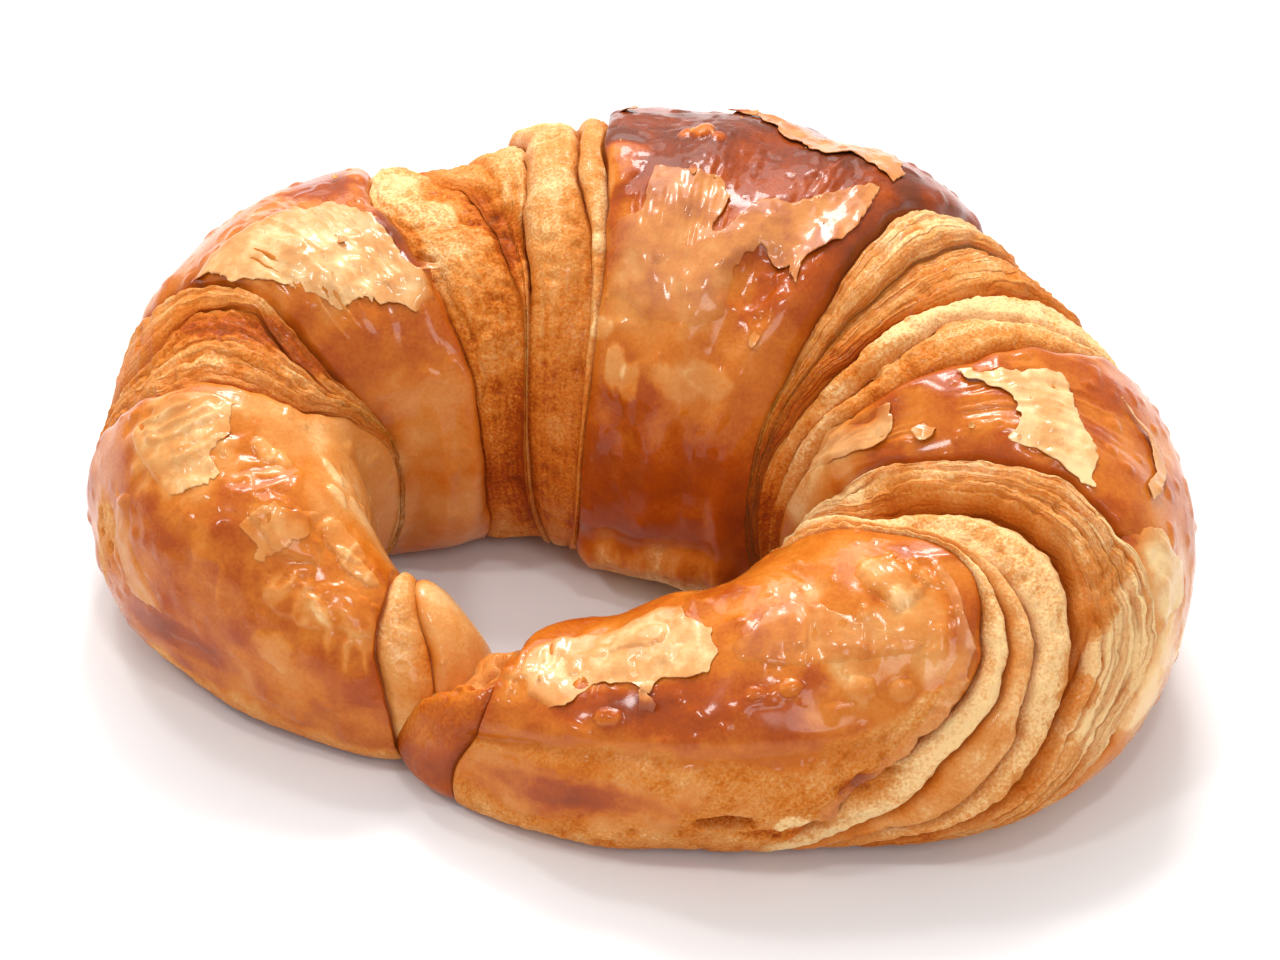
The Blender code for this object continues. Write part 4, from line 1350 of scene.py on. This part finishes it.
def crumb_tree():
    """Geometry nodes that lay shards over a surface, realised as one mesh."""
    tree = new_tree(
        "Lay crumbs", "GeometryNodeTree",
        (("Surface", "NodeSocketGeometry", None), ("Shards", "NodeSocketCollection", None),
         ("Density", "NodeSocketFloat", 1000.0), ("Smallest", "NodeSocketFloat", 0.0003),
         ("Largest", "NodeSocketFloat", 0.001), ("Seed", "NodeSocketInt", 0),
         ("Material", "NodeSocketMaterial", None)),
        (("Crumbs", "NodeSocketGeometry", None),))
    w = Wiring(tree)
    given = w.add("NodeGroupInput").outputs
    laid = w.add("GeometryNodeDistributePointsOnFaces", {
        "Mesh": given["Surface"], "Density": given["Density"], "Seed": given["Seed"]})
    shapes = w.add("GeometryNodeCollectionInfo", {
        "Collection": given["Shards"], "Separate Children": True, "Reset Children": True})
    tilt = w.add("FunctionNodeRandomValue", {
        0: (-CRUMB_TILT, -CRUMB_TILT, 0.0), 1: (CRUMB_TILT, CRUMB_TILT, 2 * math.pi),
        "Seed": given["Seed"]},
        data_type="FLOAT_VECTOR").outputs[0]
    turned = w.add("FunctionNodeRotateRotation", {
        "Rotation": laid.outputs["Rotation"], "Rotate By": tilt}, rotation_space="LOCAL")
    spread = w.add("FunctionNodeRandomValue", {2: 0.0, 3: 1.0, "Seed": given["Seed"]},
                   data_type="FLOAT").outputs[1]
    few_large = w.math("POWER", spread, 3.0)
    span = w.math("SUBTRACT", given["Largest"], given["Smallest"])
    width = w.math("ADD", given["Smallest"], w.math("MULTIPLY", few_large, span))
    placed = w.add("GeometryNodeInstanceOnPoints", {
        "Points": laid.outputs["Points"], "Instance": shapes.outputs[0], "Pick Instance": True,
        "Rotation": turned.outputs[0], "Scale": width})
    real = w.add("GeometryNodeRealizeInstances", {"Geometry": placed.outputs[0]})
    finish = w.add("GeometryNodeSetMaterial", {
        "Geometry": real.outputs[0], "Material": given["Material"]})
    w.add("NodeGroupOutput", {"Crumbs": finish.outputs[0]})
    return tree


def zone_surface(sizes):
    """The patches of crust on which crumbs lie, as one open mesh that isn't kept."""
    points, faces = [], []
    for band_name, first, last, low_turn, high_turn in CRUMB_ZONES:
        band = BAND_NUMBER[band_name]
        share, turn = np.meshgrid(np.linspace(first, last, CRUMB_CELLS) / 1000,
                                  np.radians(np.linspace(low_turn, high_turn, CRUMB_CELLS)))
        share, turn = share.ravel(), turn.ravel()
        start, end = edge_at(band, turn), edge_at(band + 1, turn)
        across = (share - start) / (end - start)
        dough = Dough(band, across, turn, sizes)
        stand = dough.skin_relief + CRUMB_STAND
        base = len(points)
        points += roll_point(share, turn, stand, 1.0).tolist()
        within = (across > 0.04) & (across < 0.96)
        for r in range(CRUMB_CELLS - 1):
            for c in range(CRUMB_CELLS - 1):
                a = r * CRUMB_CELLS + c
                face = (a, a + 1, a + CRUMB_CELLS + 1, a + CRUMB_CELLS)
                if all(within[i] for i in face):
                    faces.append(tuple(base + i for i in face))
    return mesh_from("crumb_surface", points, faces, {})


def modifier_input(modifier, name, value):
    """Set a geometry nodes modifier's input by its socket's identifier."""
    for item in modifier.node_group.interface.items_tree:
        if item.item_type == "SOCKET" and item.in_out == "INPUT" and item.name == name:
            modifier[item.identifier] = value
            return
    raise KeyError(name)


class CROISSANT_OT_crust(Operator):
    """Build the lengths of baked crust"""
    bl_idname = "croissant.crust"
    bl_label = "Crust"

    def execute(self, context):
        settings = context.scene.croissant
        material = dough_materials(settings.colours)["crust_baked"]
        for name, first_band, last_band in LENGTHS:
            as_crust(crust_length(name, first_band, last_band, settings.crust), material)
        return {"FINISHED"}


class CROISSANT_OT_films(Operator):
    """Build the films of crust that have peeled, and the loose scraps"""
    bl_idname = "croissant.films"
    bl_label = "Peeled films"

    def execute(self, context):
        settings = context.scene.croissant
        material = dough_materials(settings.colours)["film_baked"]
        thickness = settings.flakes.thickness / MM
        for film in FILMS:
            as_crust(film_from_outline(film, settings.crust, thickness), material)
        for scrap in SCRAPS:
            as_crust(scrap_from_oval(scrap, settings.crust, thickness), material)
        return {"FINISHED"}


class CROISSANT_OT_crumbs(Operator):
    """Lay crumbs and small shards over the crust"""
    bl_idname = "croissant.crumbs"
    bl_label = "Crumbs"

    def execute(self, context):
        settings = context.scene.croissant
        flakes = settings.flakes
        material = dough_materials(settings.colours)["crumb_baked"]
        shards = bpy.data.collections.new("shards")
        for number, outline in enumerate(SHARD_SHAPES):
            shards.objects.link(shard(f"shard_{number}", outline))
        surface = zone_surface(settings.crust)
        modifier = surface.modifiers.new("crumbs", "NODES")
        modifier.node_group = crumb_tree()
        modifier_input(modifier, "Shards", shards)
        modifier_input(modifier, "Density", flakes.crumb_density)
        modifier_input(modifier, "Smallest", flakes.crumb_smallest)
        modifier_input(modifier, "Largest", flakes.crumb_largest)
        modifier_input(modifier, "Seed", flakes.seed)
        modifier_input(modifier, "Material", material)
        depsgraph = context.evaluated_depsgraph_get()
        mesh = bpy.data.meshes.new_from_object(surface.evaluated_get(depsgraph))
        mesh.name = "crumbs"
        for made in [surface] + list(shards.objects):
            bpy.data.objects.remove(made)
        bpy.data.collections.remove(shards)
        crumbs = bpy.data.objects.new("crumbs", mesh)
        context.scene.collection.objects.link(crumbs)
        tones = np.random.default_rng(flakes.seed).uniform(*CRUMB_TONES, len(mesh.vertices))
        browning = mesh.attributes.new("browning", "FLOAT", "POINT")
        browning.data.foreach_set("value", tones.astype(np.float32))
        rough = mesh.attributes.new("rough", "FLOAT", "POINT")
        even = np.full(len(mesh.vertices), CRUMB_ROUGHNESS, np.float32)
        rough.data.foreach_set("value", even)
        as_crust(crumbs, material)
        return {"FINISHED"}


class CROISSANT_OT_stage(Operator):
    """Set up the pale floor, the soft lights and the camera"""
    bl_idname = "croissant.stage"
    bl_label = "Stage"

    def execute(self, context):
        scene = context.scene
        stage = scene.croissant.stage
        half = FLOOR_SIZE / 2
        mesh = bpy.data.meshes.new("studio_floor")
        mesh.from_pydata([(-half, -half, 0), (half, -half, 0), (half, half, 0), (-half, half, 0)],
                         [], [(0, 1, 2, 3)])
        floor = bpy.data.objects.new("studio_floor", mesh)
        scene.collection.objects.link(floor)
        material = bpy.data.materials.new("studio_floor")
        material.use_nodes = True
        shader = material.node_tree.nodes["Principled BSDF"]
        shader.inputs["Base Color"].default_value = stage.floor
        shader.inputs["Roughness"].default_value = 0.9
        shader.inputs["Specular IOR Level"].default_value = 0.1
        mesh.materials.append(material)
        world = scene.world or bpy.data.worlds.new("studio")
        scene.world = world
        world.use_nodes = True
        background = world.node_tree.nodes["Background"]
        background.inputs["Color"].default_value = (1.0, 0.99, 0.985, 1)
        background.inputs["Strength"].default_value = stage.sky
        self.light("key_light", stage.key, *KEY_LIGHT)
        self.light("panel_light", stage.panel, *PANEL_LIGHT)
        self.light("fill_light", stage.fill, *FILL_LIGHT)
        for number, place in enumerate(GLINT_PLACES):
            self.light(f"glint_light_{number}", stage.glint, GLINT_WIDTH, place)
        camera = bpy.data.objects.new("camera", bpy.data.cameras.new("camera"))
        scene.collection.objects.link(camera)
        camera.location = Vector(CAMERA_PLACE) * MM
        aim = Vector(CAMERA_AIM) * MM - camera.location
        camera.rotation_euler = aim.to_track_quat("-Z", "Y").to_euler()
        camera.data.lens = CAMERA_LENS
        camera.data.clip_start = 0.01
        scene.camera = camera
        scene.view_settings.view_transform = "Standard"
        return {"FINISHED"}

    def light(self, name, power, size, place):
        """A square soft light that points at the croissant."""
        data = bpy.data.lights.new(name, "AREA")
        data.energy = power
        data.size = size
        light = bpy.data.objects.new(name, data)
        light.location = place
        light.rotation_euler = (-Vector(place)).to_track_quat("-Z", "Y").to_euler()
        bpy.context.scene.collection.objects.link(light)


OPERATORS = (CROISSANT_OT_crust, CROISSANT_OT_films, CROISSANT_OT_crumbs, CROISSANT_OT_stage)


class CROISSANT_PT_panel(Panel):
    """Lists the croissant's pieces and their sizes and colours"""
    bl_label = "Croissant"
    bl_idname = "CROISSANT_PT_panel"
    bl_space_type = "VIEW_3D"
    bl_region_type = "UI"
    bl_category = "Croissant"

    def draw(self, context):
        layout = self.layout
        settings = context.scene.croissant
        for operator in OPERATORS:
            layout.operator(operator.bl_idname)
        for group in (settings.crust, settings.flakes, settings.colours, settings.stage):
            box = layout.box()
            for name in group.bl_rna.properties.keys():
                if name not in ("rna_type", "name"):
                    box.prop(group, name)


CLASSES = (CrustSizes, CrustColours, FlakeSizes, StageLight, CroissantSettings, *OPERATORS,
           CROISSANT_PT_panel)


def register():
    for one in CLASSES:
        bpy.utils.register_class(one)
    bpy.types.Scene.croissant = PointerProperty(type=CroissantSettings)


def unregister():
    del bpy.types.Scene.croissant
    for one in reversed(CLASSES):
        bpy.utils.unregister_class(one)


def main():
    register()
    bpy.ops.croissant.crust()
    bpy.ops.croissant.films()
    bpy.ops.croissant.crumbs()
    bpy.ops.croissant.stage()
    bpy.context.view_layer.update()


if __name__ == "__main__":
    main()
